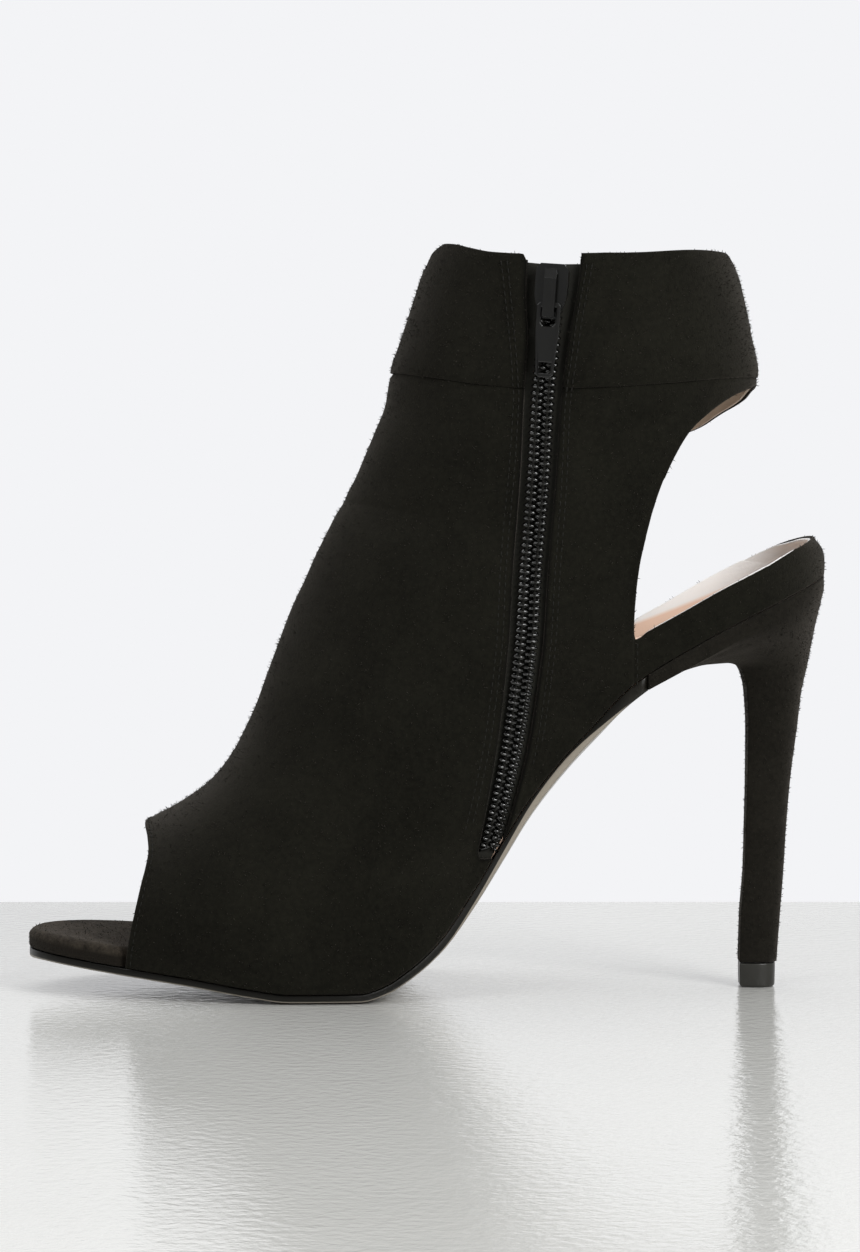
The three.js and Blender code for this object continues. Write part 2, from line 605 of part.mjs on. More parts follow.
// Outsole: from the toe to the front of the heel, rounded up towards its edges at the waist
const heelFront = placeX(0.7735);
const crownAt = (x) => {
  const t = Math.min(1, Math.max(0, (x - placeX(0.43)) / (placeX(0.6) - placeX(0.43))));
  return waistCrown * t * t * (3 - 2 * t);
};
const lipShare = (x) => Math.min(1, Math.max(0, (heelFront - x) / 14));
const outsoleRows = rounded(-shoeLength / 2, heelFront - gap, 36, true, false)
  .map((x) => ({ x, inset: soleInset, square: x > heelFront - 1 }));
const outsole = slab(outsoleRows,
  (x, t) => ground(x) - crownAt(x) * lipShare(x) * (1 - t * t) +
    edgeLift * Math.max(0, (Math.abs(t) - 0.75) / 0.25),
  (x) => layer(x, soleThickness), 8);

// Heel sections from the seat down: front and back points as places along the shoe and shares of the heel height
const heelTable = [
  { front: 0.7765, frontUp: 0.768, back: 0.9975, backUp: 1.0, seat: 0.965, shaft: 0, corner: 0.93, wide: 0.4 },
  { front: 0.816, frontUp: 0.799, back: 0.9955, backUp: 0.969, seat: 0.92, shaft: 0, corner: 0.9, wide: 0.42 },
  { front: 0.848, frontUp: 0.812, back: 0.991, backUp: 0.921, seat: 0.79, shaft: 0, corner: 0.86, wide: 0.44 },
  { front: 0.874, frontUp: 0.8135, back: 0.985, backUp: 0.864, seat: 0.61, shaft: 0, corner: 0.82, wide: 0.46 },
  { front: 0.892, frontUp: 0.799, back: 0.979, backUp: 0.799, seat: 0.44, shaft: 0, corner: 0.8, wide: 0.48 },
  { front: 0.901, frontUp: 0.745, back: 0.972, backUp: 0.737, seat: 0.26, shaft: 0.5, corner: 0.8, wide: 0.5 },
  { front: 0.9035, frontUp: 0.65, back: 0.967, backUp: 0.65, seat: 0.1, shaft: 1.0, corner: 0.8, wide: 0.5 },
  { front: 0.903, frontUp: 0.536, back: 0.9595, backUp: 0.536, seat: 0.04, shaft: 1.06, corner: 0.8, wide: 0.5 },
  { front: 0.9015, frontUp: 0.413, back: 0.954, backUp: 0.413, seat: 0, shaft: 1.1, corner: 0.8, wide: 0.5 },
  { front: 0.9, frontUp: 0.297, back: 0.9505, backUp: 0.297, seat: 0, shaft: 1.04, corner: 0.8, wide: 0.5 },
  { front: 0.8955, frontUp: 0.177, back: 0.946, backUp: 0.177, seat: 0, shaft: 1.0, corner: 0.8, wide: 0.5 },
];
// A heel outline: straight front with round corners, widest at a share of its depth, round at the back
function heelLoop(front, back, half, corner, wide, place) {
  const steps = 14;
  const shares = Array.from({ length: steps + 1 }, (_, i) => Math.sin((Math.PI / 2) * (i / steps)) ** 1.3);
  const widthAt = (a) => a < wide
    ? corner + (1 - corner) * (1 - (1 - a / wide) ** 2)
    : Math.sqrt(Math.max(0, 1 - ((a - wide) / (1 - wide)) ** 2.2));
  const side = (sign) => shares.map((a) => place(a, sign * half * widthAt(a)));
  const inner = [-0.5, 0, 0.5].map((y) => place(0, y * half * corner));
  return [...side(-1).slice(0, -1), ...side(1).reverse(), ...inner.reverse()];
}
const heelTop = 1;
const heelEdge = 0.35;
const heelLoops = [];
{
  const x0 = heelFront;
  const x1 = placeX(1) - heelEdge;
  heelLoops.push(heelLoop(x0, x1, 1, 1, 0.5, (a, y) => {
    const x = x0 + (x1 - x0) * a;
    const share = y === 0 ? 0 : Math.sign(y) * Math.min(1, Math.abs(y));
    const full = Math.max(0, outlineHalf(x + (a > 0.5 ? heelEdge : 0)) - heelEdge);
    const yy = a === 0 ? share * full : Math.sign(share) * full;
    return new THREE.Vector3(x, a >= 1 ? 0 : yy, layer(x, soleThickness));
  }));
}
heelTable.forEach((r) => {
  const f = [placeX(r.front), r.frontUp * heelHeight];
  const b = [placeX(r.back), r.backUp * heelHeight];
  const half = (r.seat * seatWidth + r.shaft * heelShaftWidth) / 2;
  heelLoops.push(heelLoop(0, 1, half, r.corner, r.wide, (a, y) =>
    new THREE.Vector3(f[0] + (b[0] - f[0]) * a, y, f[1] + (b[1] - f[1]) * a)));
});
const heelEnd = tipHeight + gap;
const dLoop = (front, back, half, z) => heelLoop(0, 1, half, 0.8, 0.5, (a, y) =>
  new THREE.Vector3(front + (back - front) * a, y, z));
heelLoops.push(dLoop(placeX(0.894), placeX(0.942), heelShaftWidth / 2, heelEnd));

// A solid through loops from top to bottom; each end is closed by strips between its two sides
function loft(loops) {
  const count = loops[0].length;
  const points = loops.flat();
  const faces = [];
  for (let i = 0; i < loops.length - 1; i++) {
    for (let j = 0; j < count; j++) {
      const k = (j + 1) % count;
      faces.push(...quad(i * count + j, (i + 1) * count + j, (i + 1) * count + k, i * count + k));
    }
  }
  const steps = 14;
  const cap = (base, flip) => {
    const made = [];
    const near = (i) => base + i;
    const far = (i) => base + 2 * steps - i;
    for (let i = 0; i < steps; i++) {
      if (i < steps - 1) made.push(...quad(near(i), near(i + 1), far(i + 1), far(i)));
      else made.push([near(i), near(i + 1), far(i)]);
    }
    const inner = [near(0), far(0), ...[1, 2, 3].map((i) => base + 2 * steps + i)];
    made.push([inner[0], inner[1], inner[2]], [inner[0], inner[2], inner[3]], [inner[0], inner[3], inner[4]]);
    return flip ? made.map(([a, b, c]) => [a, c, b]) : made;
  };
  faces.push(...cap(0, false), ...cap((loops.length - 1) * count, true));
  const made = solid(points, faces);
  return made.volume() > 0 ? made : solid(points, faces.map(([a, b, c]) => [a, c, b]));
}
const heel = loft(heelLoops);
const heelTip = loft([
  dLoop(placeX(0.8945), placeX(0.94), tipWidth / 2, tipHeight),
  dLoop(placeX(0.895), placeX(0.9395), tipWidth / 2, 0.6),
  dLoop(placeX(0.8975), placeX(0.937), tipWidth / 2 - 0.5, 0),
]);

// Zip: tape behind the wall and chain in the slot
const tapeBottom = 0.25 * collarHeight;
const chainBottom = 0.212 * collarHeight;
const zipTop = 0.967 * collarHeight;
const chainOver = -0.2;
const tapeHalf = (z) => Math.min(tapeWidth / 2, tapeLow / 2 + (z - tapeBottom) * 0.06);
const zipTape = zipStrip(tapeBottom, zipTop, tapeHalf, -wall - tapeGap, -wall - tapeGap - tapeThickness, 0, 9);
const zipChain = zipStrip(chainBottom, zipTop - 0.8, () => chainWidth / 2, chainOver, chainOver - chainThickness, 0.25, 3);

// Slider and pull are drawn in their own frame: x across, y up the zip, z out of the wall, pivot at y = 0
const pivotHeight = 0.915 * collarHeight;
const pivotX = zipX(pivotHeight);
const { origin: pivotFoot, out: zipOut } = medialFrame(pivotX, pivotHeight);
const above = medialFrame(zipX(pivotHeight + 4), pivotHeight + 4).origin;
const zipUp = above.clone().sub(pivotFoot);
zipUp.addScaledVector(zipOut, -zipUp.dot(zipOut)).normalize();
const zipAcross = zipUp.clone().cross(zipOut).normalize();
const zipFrame = new THREE.Matrix4().makeBasis(zipAcross, zipUp, zipOut).setPosition(pivotFoot);

// A flat outline with an optional window, extruded between two heights, as a solid
function plate(outline, window, from, to) {
  const shape = new THREE.Shape(outline.map(([x, y]) => new THREE.Vector2(x, y)));
  if (window) shape.holes.push(new THREE.Path(window.map(([x, y]) => new THREE.Vector2(x, y))));
  const flat = new THREE.ExtrudeGeometry(shape, { depth: to - from, bevelEnabled: false, curveSegments: 6 });
  flat.translate(0, 0, from);
  const position = flat.attributes.position;
  const points = Array.from({ length: position.count }, (_, i) => new THREE.Vector3().fromBufferAttribute(position, i));
  return solid(points, Array.from({ length: points.length / 3 }, (_, i) => [3 * i, 3 * i + 1, 3 * i + 2]));
}
const box = (x0, x1, y0, y1, z0, z1) => plate([[x0, y0], [x1, y0], [x1, y1], [x0, y1]], null, z0, z1);

const plateUnder = chainOver + gap + 0.15;
const plateOver = plateUnder + plateThickness;
const barRadius = pullThickness / 2;
const axleOut = plateOver + runClear + barRadius;
const bridgeUnder = axleOut + barRadius + runClear;
const bridgeOver = bridgeUnder + 0.9;
const bridgeLow = -2.9;
const bridgeHigh = bridgeLow + bridgeLength;
const legDepth = 1.2;
const sliderTop = bridgeHigh + 1.3;
const halfSlider = sliderWidth / 2;
let slider = plate([
  [-halfSlider * 0.55, bridgeLow - 0.4],
  [halfSlider * 0.55, bridgeLow - 0.4],
  [halfSlider * 0.9, 0.6],
  [halfSlider, 2.4],
  [halfSlider, sliderTop - 1.4],
  [halfSlider * 0.72, sliderTop],
  [-halfSlider * 0.72, sliderTop],
  [-halfSlider, sliderTop - 1.4],
  [-halfSlider, 2.4],
  [-halfSlider * 0.9, 0.6],
], null, plateUnder, plateOver);
const flangeInner = chainWidth / 2 + gap;
[-1, 1].forEach((side) => {
  const flange = box(
    Math.min(side * flangeInner, side * halfSlider), Math.max(side * flangeInner, side * halfSlider),
    2.6, sliderTop - 1.6, -wall + 0.1, plateUnder + 0.2);
  slider = slider.add(flange);
});
const bridgeHalf = bridgeWidth / 2;
slider = slider
  .add(box(-bridgeHalf, bridgeHalf, bridgeLow, bridgeLow + legDepth, plateOver - 0.2, bridgeOver))
  .add(box(-bridgeHalf, bridgeHalf, bridgeHigh - legDepth, bridgeHigh, plateOver - 0.2, bridgeOver - 0.6))
  .add(box(-bridgeHalf, bridgeHalf, bridgeLow + 0.3, bridgeHigh - 2.4, bridgeUnder, bridgeOver));
// The bridge falls off towards the top stop
const fall = [[bridgeHigh - 2.8, bridgeUnder], [bridgeHigh - 0.2, bridgeUnder - 0.6],
  [bridgeHigh - 0.2, bridgeOver - 0.6], [bridgeHigh - 2.8, bridgeOver]];
const fallPoints = [-bridgeHalf, bridgeHalf].flatMap((x) => fall.map(([y, z]) => new THREE.Vector3(x, y, z)));
slider = slider.add(solid(fallPoints, [
  ...quad(0, 3, 2, 1), ...quad(4, 5, 6, 7), ...quad(0, 1, 5, 4), ...quad(1, 2, 6, 5), ...quad(2, 3, 7, 6), ...quad(3, 0, 4, 7),
]));

const halfRing = ringWidth / 2;
const windowHalf = bridgeHalf + runClear;
const halfEnd = pullEndWidth / 2;
const ringEnd = -5.3;
const pull = plate([
  [-halfRing + 0.6, barRadius],
  [-halfRing, barRadius - 0.6],
  [-halfRing, ringEnd - 0.8],
  [-halfEnd, -pullLength + 0.7],
  [-halfEnd + 0.7, -pullLength],
  [halfEnd - 0.7, -pullLength],
  [halfEnd, -pullLength + 0.7],
  [halfRing, ringEnd - 0.8],
  [halfRing, barRadius - 0.6],
  [halfRing - 0.6, barRadius],
], [
  [-windowHalf, -barRadius],
  [windowHalf, -barRadius],
  [windowHalf, ringEnd + 0.9],
  [windowHalf - 0.9, ringEnd],
  [-windowHalf + 0.9, ringEnd],
  [-windowHalf, ringEnd + 0.9],
], axleOut - barRadius, axleOut + barRadius)
  .subtract(box(-halfEnd + 0.6, halfEnd - 0.6, -pullLength + 1.0, -pullLength + 3.7, 0, 9));

const toShoe = (made) => made.transform(zipFrame.toArray());

// The named pieces with their materials
const root = new THREE.Group();
root.name = "peep_toe_boot";
function piece(name, made, colour, roughness, metalness) {
  const mesh = made.getMesh();
  const geometry = new THREE.BufferGeometry();
  const position = new Float32Array(mesh.numVert * 3);
  for (let i = 0; i < mesh.numVert; i++) {
    position.set(mesh.vertProperties.subarray(i * mesh.numProp, i * mesh.numProp + 3), i * 3);
  }
  geometry.setAttribute("position", new THREE.BufferAttribute(position, 3));
  geometry.setIndex(new THREE.BufferAttribute(mesh.triVerts, 1));
  geometry.computeVertexNormals();
  const material = new THREE.MeshStandardMaterial({ color: new THREE.Color(colour), roughness, metalness });
  const added = new THREE.Mesh(geometry, material);
  added.name = name;
  root.add(added);
}
piece("upper", upper, "#1c1b18", 0.95, 0);
piece("cuff", cuff, "#1c1b18", 0.95, 0);
piece("insole", insole, "#2a2724", 0.9, 0);
piece("outsole", outsole, "#1a1a1a", 0.35, 0);
piece("heel", heel, "#22211c", 0.95, 0);
piece("heel_tip", heelTip, "#32312d", 0.5, 0);
piece("zip_tape", zipTape, "#161616", 0.9, 0);
piece("zip_chain", zipChain, "#1a1a1a", 0.45, 0);
piece("zip_slider", toShoe(slider), "#26262a", 0.35, 0.6);
piece("pull_tab", toShoe(pull), "#2a2a2c", 0.35, 0.6);

export default root;
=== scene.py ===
import math

import bpy
import numpy as np
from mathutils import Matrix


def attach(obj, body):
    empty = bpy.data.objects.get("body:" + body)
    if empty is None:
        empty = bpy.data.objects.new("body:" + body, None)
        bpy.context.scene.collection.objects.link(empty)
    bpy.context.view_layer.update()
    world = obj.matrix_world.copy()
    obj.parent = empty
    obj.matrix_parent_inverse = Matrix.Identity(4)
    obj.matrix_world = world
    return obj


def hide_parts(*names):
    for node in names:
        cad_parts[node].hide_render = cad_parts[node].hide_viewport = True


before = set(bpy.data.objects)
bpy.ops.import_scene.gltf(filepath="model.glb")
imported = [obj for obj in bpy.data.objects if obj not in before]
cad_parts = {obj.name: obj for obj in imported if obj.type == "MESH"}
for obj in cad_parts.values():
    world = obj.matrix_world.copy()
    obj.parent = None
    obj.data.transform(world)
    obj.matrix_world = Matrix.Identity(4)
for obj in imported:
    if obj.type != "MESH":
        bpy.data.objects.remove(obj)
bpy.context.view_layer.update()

# Overall sizes in millimetres; toe towards -X, inner side towards -Y
boot = {
    "length": 201.0,
    "heelHeight": 101.7,
    "toeSpring": 8.5,
    "collarHeight": 187.4,
    "ballWidth": 78.6,
    "waistWidth": 48.4,
    "seatWidth": 52.6,
    "shaftWidth": 63.4,
    "soleThickness": 2.4,
    "soleGap": 0.3,
    "toeRound": 70.0,
    "seatRound": 28.0,
}


def column(rows, k):  # one column of a table
    return np.array([row[k] for row in rows], float)


def along(share):  # shares of the length are counted from the toe tip
    return (np.asarray(share, float) - 0.5) * boot["length"]


def ramp(v, low, high):  # 0 below low, 1 above high, 3t^2 - 2t^3 between
    t = np.clip((v - low) / (high - low), 0, 1)
    return t * t * (3 - 2 * t)


# Cubic pieces through the rows, the inner slopes being harmonic means so that nothing overshoots
def smoothLine(xs, ys):
    xs, ys = np.asarray(xs, float), np.asarray(ys, float)
    step = np.diff(xs)
    rate = np.diff(ys) / step
    slope = np.concatenate([rate[:1], np.zeros(len(xs) - 2), rate[-1:]])
    a = 2 * step[1:] + step[:-1]
    b = step[1:] + 2 * step[:-1]
    same = rate[:-1] * rate[1:] > 0
    before, after = np.where(same, rate[:-1], 1), np.where(same, rate[1:], 1)
    slope[1:-1] = np.where(same, (a + b) / (a / before + b / after), 0)

    def at(x):
        x = np.asarray(x, float)
        i = np.clip(np.searchsorted(xs, x) - 1, 0, len(xs) - 2)
        t = (x - xs[i]) / step[i]
        u = 1 - t
        inside = (1 + 2 * t) * u * u * ys[i] + t * u * u * step[i] * slope[i]
        inside = inside + t * t * (3 - 2 * t) * ys[i + 1] - t * t * u * step[i] * slope[i + 1]
        early = ys[0] + slope[0] * (x - xs[0])
        late = ys[-1] + slope[-1] * (x - xs[-1])
        return np.where(x <= xs[0], early, np.where(x >= xs[-1], late, inside))

    return at


# Underside of the sole: place, share of the toe spring, share of the heel height
groundRows = [
    (0.0, 1.0, 0), (0.052, 0.88, 0), (0.127, 0.68, 0), (0.211, 0.42, 0), (0.286, 0.13, 0),
    (0.331, 0, 0), (0.42, 0, 0), (0.45, 0, 0.016), (0.485, 0, 0.058), (0.522, 0, 0.123),
    (0.56, 0, 0.227), (0.597, 0, 0.345), (0.629, 0, 0.447), (0.669, 0, 0.549), (0.712, 0, 0.642),
    (0.759, 0, 0.738), (0.833, 0, 0.833), (0.898, 0, 0.902), (0.962, 0, 0.963), (1.0, 0, 1.0),
]
ground = smoothLine(
    along(column(groundRows, 0)),
    column(groundRows, 1) * boot["toeSpring"] + column(groundRows, 2) * boot["heelHeight"],
)


def layer(x, thickness):  # height of a layer measured square to the sole: ground + t * sqrt(1 + slope^2)
    return ground(x) + thickness * np.hypot(1, ground(x + 0.5) - ground(x - 0.5))


def feather(x):  # the line where the upper meets the sole: the sole's thickness and a gap above the ground
    return layer(x, boot["soleThickness"] + boot["soleGap"])


# Plan outline: place, weight of the ball width, weight of the seat width, sideways share of the ball width
outlineRows = [
    (0.0, 1, 0, -0.06), (0.025, 1, 0, -0.038), (0.06, 1, 0, -0.026), (0.124, 1, 0, -0.019),
    (0.2, 1, 0, -0.009), (0.274, 1, 0, -0.005), (0.348, 1, 0, -0.003), (0.4, 0.99, 0, 0.003),
    (0.473, 0.83, 0, 0.016), (0.547, 0.53, 0, 0.022), (0.622, 0.23, 0, 0.016), (0.697, 0.05, 0, 0.006),
    (0.771, 0, 0.1, 0), (0.846, 0, 0.7, 0), (0.92, 0, 1, 0), (1.0, 0, 1, 0),
]
ballShare, seatShare = column(outlineRows, 1), column(outlineRows, 2)
plainHalf = smoothLine(
    along(column(outlineRows, 0)),
    (ballShare * boot["ballWidth"] + seatShare * boot["seatWidth"]
     + (1 - ballShare - seatShare) * boot["waistWidth"]) / 2,
)
middleLine = smoothLine(along(column(outlineRows, 0)), column(outlineRows, 3) * boot["ballWidth"])


def roundOff(distance, radius):  # quarter circle: sqrt(1 - (1 - d / r)^2)
    t = np.clip(distance / radius, 0, 1)
    return np.sqrt(1 - (1 - t) ** 2)


def outlineHalf(x):  # half width of the sole in plan, rounded off at toe and seat
    half = boot["length"] / 2
    return plainHalf(x) * roundOff(x + half, boot["toeRound"]) * roundOff(half - x, boot["seatRound"])


# Sections of the upper from toe to collar. Columns: place of the foot, height of the foot (0 stands
# on the sole's edge), place and height of the ridge, weights of the ball and shaft widths, sideways
# shares of the middle and the ridge, where it is widest, shape below, shape above, share of the outline
sectionRows = [
    (0.127, 0, 0.144, 0.226, 0.795, 0, -0.019, -0.06, 0.24, 1, 2.1, 1),
    (0.211, 0, 0.192, 0.2535, 0.953, 0, -0.008, -0.062, 0.24, 1, 2.0, 1),
    (0.286, 0, 0.229, 0.283, 1.008, 0, -0.003, -0.062, 0.25, 1, 1.9, 1),
    (0.351, 0, 0.256, 0.32, 1.01, 0, 0, -0.06, 0.26, 1, 1.8, 1),
    (0.415, 0, 0.273, 0.3555, 1.005, 0, 0.003, -0.055, 0.28, 1, 1.75, 1),
    (0.475, 0, 0.287, 0.388, 0.98, 0, 0.01, -0.05, 0.3, 0.95, 1.75, 1),
    (0.53, 0, 0.3005, 0.427, 0.84, 0.13, 0.015, -0.045, 0.33, 0.9, 1.75, 1),
    (0.58, 0, 0.3155, 0.472, 0.6, 0.38, 0.018, -0.04, 0.36, 0.85, 1.75, 1),
    (0.634, 0, 0.331, 0.516, 0.36, 0.63, 0.017, -0.032, 0.4, 0.85, 1.75, 1),
    (0.694, 0, 0.3465, 0.551, 0.18, 0.825, 0.014, -0.025, 0.43, 0.85, 1.8, 1),
    (0.759, 0, 0.359, 0.5815, 0.08, 0.92, 0.01, -0.019, 0.46, 0.9, 1.8, 1),
    (0.823, 0, 0.3705, 0.6065, 0.04, 0.954, 0.006, -0.013, 0.48, 0.95, 1.85, 1),
    (0.898, 0, 0.38, 0.627, 0.02, 0.97, 0.003, -0.007, 0.5, 1, 1.9, 1),
    (0.958, 0, 0.387, 0.641, 0, 0.99, 0.002, -0.005, 0.5, 1, 1.92, 1),
    (0.982, 0, 0.3915, 0.6485, 0, 0.989, 0.0015, -0.0042, 0.5, 1, 1.93, 1),
    (0.9945, 0, 0.3945, 0.6535, 0, 0.9885, 0.0013, -0.0038, 0.5, 1, 1.935, 1),
    (1.0, 0, 0.396, 0.656, 0, 0.988, 0.0012, -0.0036, 0.5, 1, 1.94, 1),
    (1.0005, 0.5745, 0.399, 0.6645, 0, 0.986, 0.001, -0.003, 0.5, 1, 1.95, 1),
    (0.9985, 0.59, 0.4025, 0.6725, 0, 0.985, 0.0008, -0.0023, 0.5, 1, 1.965, 0.96),
    (0.9885, 0.6065, 0.4085, 0.684, 0, 0.983, 0.0005, -0.0015, 0.5, 1, 1.98, 0.9),
    (0.95, 0.667, 0.4205, 0.714, 0, 0.98, 0, 0, 0.5, 1, 2.0, 0.5),
    (0.92, 0.736, 0.4355, 0.7525, 0, 0.98, 0, 0, 0.49, 1, 2.05, 0.15),
    (0.912, 0.79, 0.448, 0.787, 0, 0.985, 0, 0, 0.48, 1, 2.1, 0),
    (0.9145, 0.82, 0.4525, 0.8165, 0, 0.99, 0, 0, 0.48, 1, 2.1, 0),
    (0.9055, 0.875, 0.4705, 0.875, 0, 1.0, 0, 0, 0.48, 1, 2.1, 0),
    (0.893, 0.939, 0.49, 0.939, 0, 1.0, 0, 0, 0.48, 1, 2.1, 0),
    (0.8825, 0.98, 0.501, 0.98, 0, 0.995, 0, 0, 0.48, 1, 2.1, 0),
    (0.873, 1.02, 0.512, 1.02, 0, 0.985, 0, 0, 0.48, 1, 2.1, 0),
]
lastOnSole = 16
footX = along(column(sectionRows, 0))
footZ = np.where(
    column(sectionRows, 1) > 0, column(sectionRows, 1) * boot["collarHeight"], feather(footX)
)
ridgeX = along(column(sectionRows, 2))
ridgeZ = column(sectionRows, 3) * boot["collarHeight"]
sectionColumns = {
    "bx": footX,
    "bz": footZ,
    "tx": ridgeX,
    "tz": ridgeZ,
    "half": (column(sectionRows, 4) * boot["ballWidth"] + column(sectionRows, 5) * boot["shaftWidth"]) / 2,
    "mid": column(sectionRows, 6) * boot["ballWidth"],
    "ridge": column(sectionRows, 7) * boot["ballWidth"],
    "wide": column(sectionRows, 8),
    "swell": column(sectionRows, 9),
    "high": column(sectionRows, 10),
    "cup": column(sectionRows, 11),
}
# A section's station is the mean way that its two ends have travelled
travel = (np.hypot(np.diff(footX), np.diff(footZ)) + np.hypot(np.diff(ridgeX), np.diff(ridgeZ))) / 2
stations = np.concatenate([[0], np.cumsum(travel)])
closing = stations[lastOnSole]
lastStation = stations[-1]
sectionLines = {name: smoothLine(stations, values) for name, values in sectionColumns.items()}


def sectionAt(p):  # all values of a section; its foot stays on the sole until the skin closes behind
    s = {name: line(p) for name, line in sectionLines.items()}
    onSole = p < closing - 1e-6
    s["bz"] = np.where(p < closing, feather(s["bx"]), s["bz"])
    s["foot"] = np.where(onSole, outlineHalf(s["bx"]), 0)
    s["shift"] = np.where(onSole, 0, boot["length"] / 2 - s["bx"])
    return s


# Sideways place at a share t of the section. Above the widest place it is an arch,
# ridge + (w - ridge) * sqrt(1 - u^n); below it a sine swell from the plan outline out to the width,
# or an oval where the section closes on itself.
def skinY(s, t, side):
    widest = s["mid"] + side * s["half"]
    up = np.clip((t - s["wide"]) / (1 - s["wide"]), 0, 1)
    arch = s["ridge"] + (widest - s["ridge"]) * np.sqrt(np.maximum(0, 1 - up ** s["high"]))
    down = np.clip(1 - t / s["wide"], 0, 1)
    x = s["bx"] + (s["tx"] - s["bx"]) * np.maximum(0, t) + s["shift"]
    base = middleLine(x) + side * outlineHalf(x)
    swell = np.sin((np.pi / 2) * (1 - down) ** s["swell"]) ** 2
    cupped = base + (widest - base) * swell
    oval = widest * np.sqrt(np.maximum(0, 1 - down**2.2))
    return np.where(t >= s["wide"], arch, oval + (cupped - oval) * s["cup"])


# The boot's skin: station p from toe to collar, c from -1 at the inner sole edge over the ridge at 0 to 1
def skin(p, c):
    s = sectionAt(p)
    h = 1 - np.abs(c)
    grip = np.minimum(1, s["foot"] / s["half"]) ** 2
    turn = 1 - np.cos(np.pi * h)
    low = s["wide"] * (turn + (2 * h - turn) * grip)
    high = s["wide"] + (1 - s["wide"]) * np.sin(np.pi * (h - 0.5))
    t = np.where(h < 0.5, low, high)
    y = skinY(s, t, np.where(c < 0, -1, 1))
    return np.stack([s["bx"] + (s["tx"] - s["bx"]) * t, y, s["bz"] + (s["tz"] - s["bz"]) * t], -1)


def unit(v):  # the same direction with length 1
    return v / np.maximum(np.linalg.norm(v, axis=-1, keepdims=True), 1e-9)


# Outward direction: the cross product of short steps along and across the skin
def skinNormal(p, c):
    ring = p >= closing - 1e-6

    def over(v):  # runs on round the back where the section closes on itself
        return np.where(ring, np.where(v > 1, v - 2, np.where(v < -1, v + 2, v)), np.clip(v, -1, 1))

    before = np.maximum(np.where(ring, closing, -9), p - 0.4)
    step = skin(p + 0.4, c) - skin(before, c)
    return unit(np.cross(step, skin(p, over(c + 0.02)) - skin(p, over(c - 0.02))))


# Place on one side of the skin at a point of the side view, found by halving the range of stations
def sidePoint(x, z, side):
    x, z = np.broadcast_arrays(np.asarray(x, float), np.asarray(z, float))
    low, high = np.full(x.shape, stations[2]), np.full(x.shape, lastStation)
    for _ in range(34):
        p = (low + high) / 2
        s = sectionAt(p)
        behind = (s["tx"] - s["bx"]) * (z - s["bz"]) - (s["tz"] - s["bz"]) * (x - s["bx"])
        low, high = np.where(behind < 0, p, low), np.where(behind < 0, high, p)
    s = sectionAt(p)
    dx, dz = s["tx"] - s["bx"], s["tz"] - s["bz"]
    t = ((x - s["bx"]) * dx + (z - s["bz"]) * dz) / (dx * dx + dz * dz)
    return np.stack([x, skinY(s, t, side), z], -1)


def sideNormal(x, z, side):  # outward direction from the slopes of the skin around the point
    slopeX = (sidePoint(x + 0.8, z, side)[..., 1] - sidePoint(x - 0.8, z, side)[..., 1]) / 1.6
    slopeZ = (sidePoint(x, z + 0.8, side)[..., 1] - sidePoint(x, z - 0.8, side)[..., 1]) / 1.6
    return unit(np.stack([-side * slopeX, np.full(slopeX.shape, float(side)), -side * slopeZ], -1))


# Edges of the pieces, as distances in the side view

# Rims as shares of length and collar height: the heel's cut-out, the toe opening, the collar, the cuff's seam
openingRows = [
    (0.7562, 0.4752), (0.7555, 0.492), (0.757, 0.53), (0.7615, 0.575), (0.768, 0.607), (0.778, 0.647),
    (0.7915, 0.687), (0.807, 0.7215), (0.826, 0.7525), (0.845, 0.7715), (0.8645, 0.787), (0.882, 0.798),
    (0.8965, 0.8045), (0.906, 0.8095), (0.912, 0.8155), (0.96, 0.822), (1.08, 0.822), (1.08, 0.62),
    (0.993, 0.6065), (0.972, 0.5985), (0.92, 0.569), (0.864, 0.539), (0.812, 0.507), (0.772, 0.483),
    (0.7615, 0.4768),
]
toeRows = [
    (0.1285, 0), (0.129, 0.036), (0.133, 0.074), (0.14, 0.113), (0.144, 0.133), (0.149, 0.158),
    (0.153, 0.176), (0.1555, 0.195), (0.1525, 0.213), (0.1455, 0.2275), (0.138, 0.24),
]
collarRows = [
    (0.47, 0.95), (0.498, 0.968), (0.5035, 0.979), (0.5075, 0.988), (0.5155, 0.9957), (0.5235, 1.0),
    (0.535, 0.9985), (0.553, 0.993), (0.58, 0.9865), (0.63, 0.983), (0.75, 0.9845), (0.84, 0.99),
    (0.87, 0.9885), (0.885, 0.972), (0.93, 0.95),
]
seamRows = [
    (0.4, 0.828), (0.452, 0.828), (0.5, 0.822), (0.57, 0.811), (0.64, 0.8055), (0.72, 0.808),
    (0.8, 0.8135), (0.87, 0.82), (0.915, 0.8225), (1.0, 0.8225),
]
# Zip line from the bottom up: height, place, half width of the slot in mm
zipRows = [
    (0.187, 0.574, 1.4), (0.194, 0.5762, 2.3), (0.207, 0.5797, 2.7), (0.224, 0.584, 2.9),
    (0.271, 0.5945, 3.4), (0.341, 0.6075, 3.9), (0.412, 0.6164, 4.15), (0.481, 0.6229, 4.3),
    (0.56, 0.6264, 4.3), (0.697, 0.6363, 4.4), (0.794, 0.6413, 4.6), (0.87, 0.6482, 5.0),
    (0.93, 0.652, 6.2), (0.965, 0.6545, 6.5), (1.05, 0.6575, 6.6),
]
collarHeight = boot["collarHeight"]
collarLine = smoothLine(along(column(collarRows, 0)), column(collarRows, 1) * collarHeight)
seamLine = smoothLine(along(column(seamRows, 0)), column(seamRows, 1) * collarHeight)
toeLine = smoothLine(column(toeRows, 1) * collarHeight, along(column(toeRows, 0)))
zipHeights = column(zipRows, 0) * collarHeight
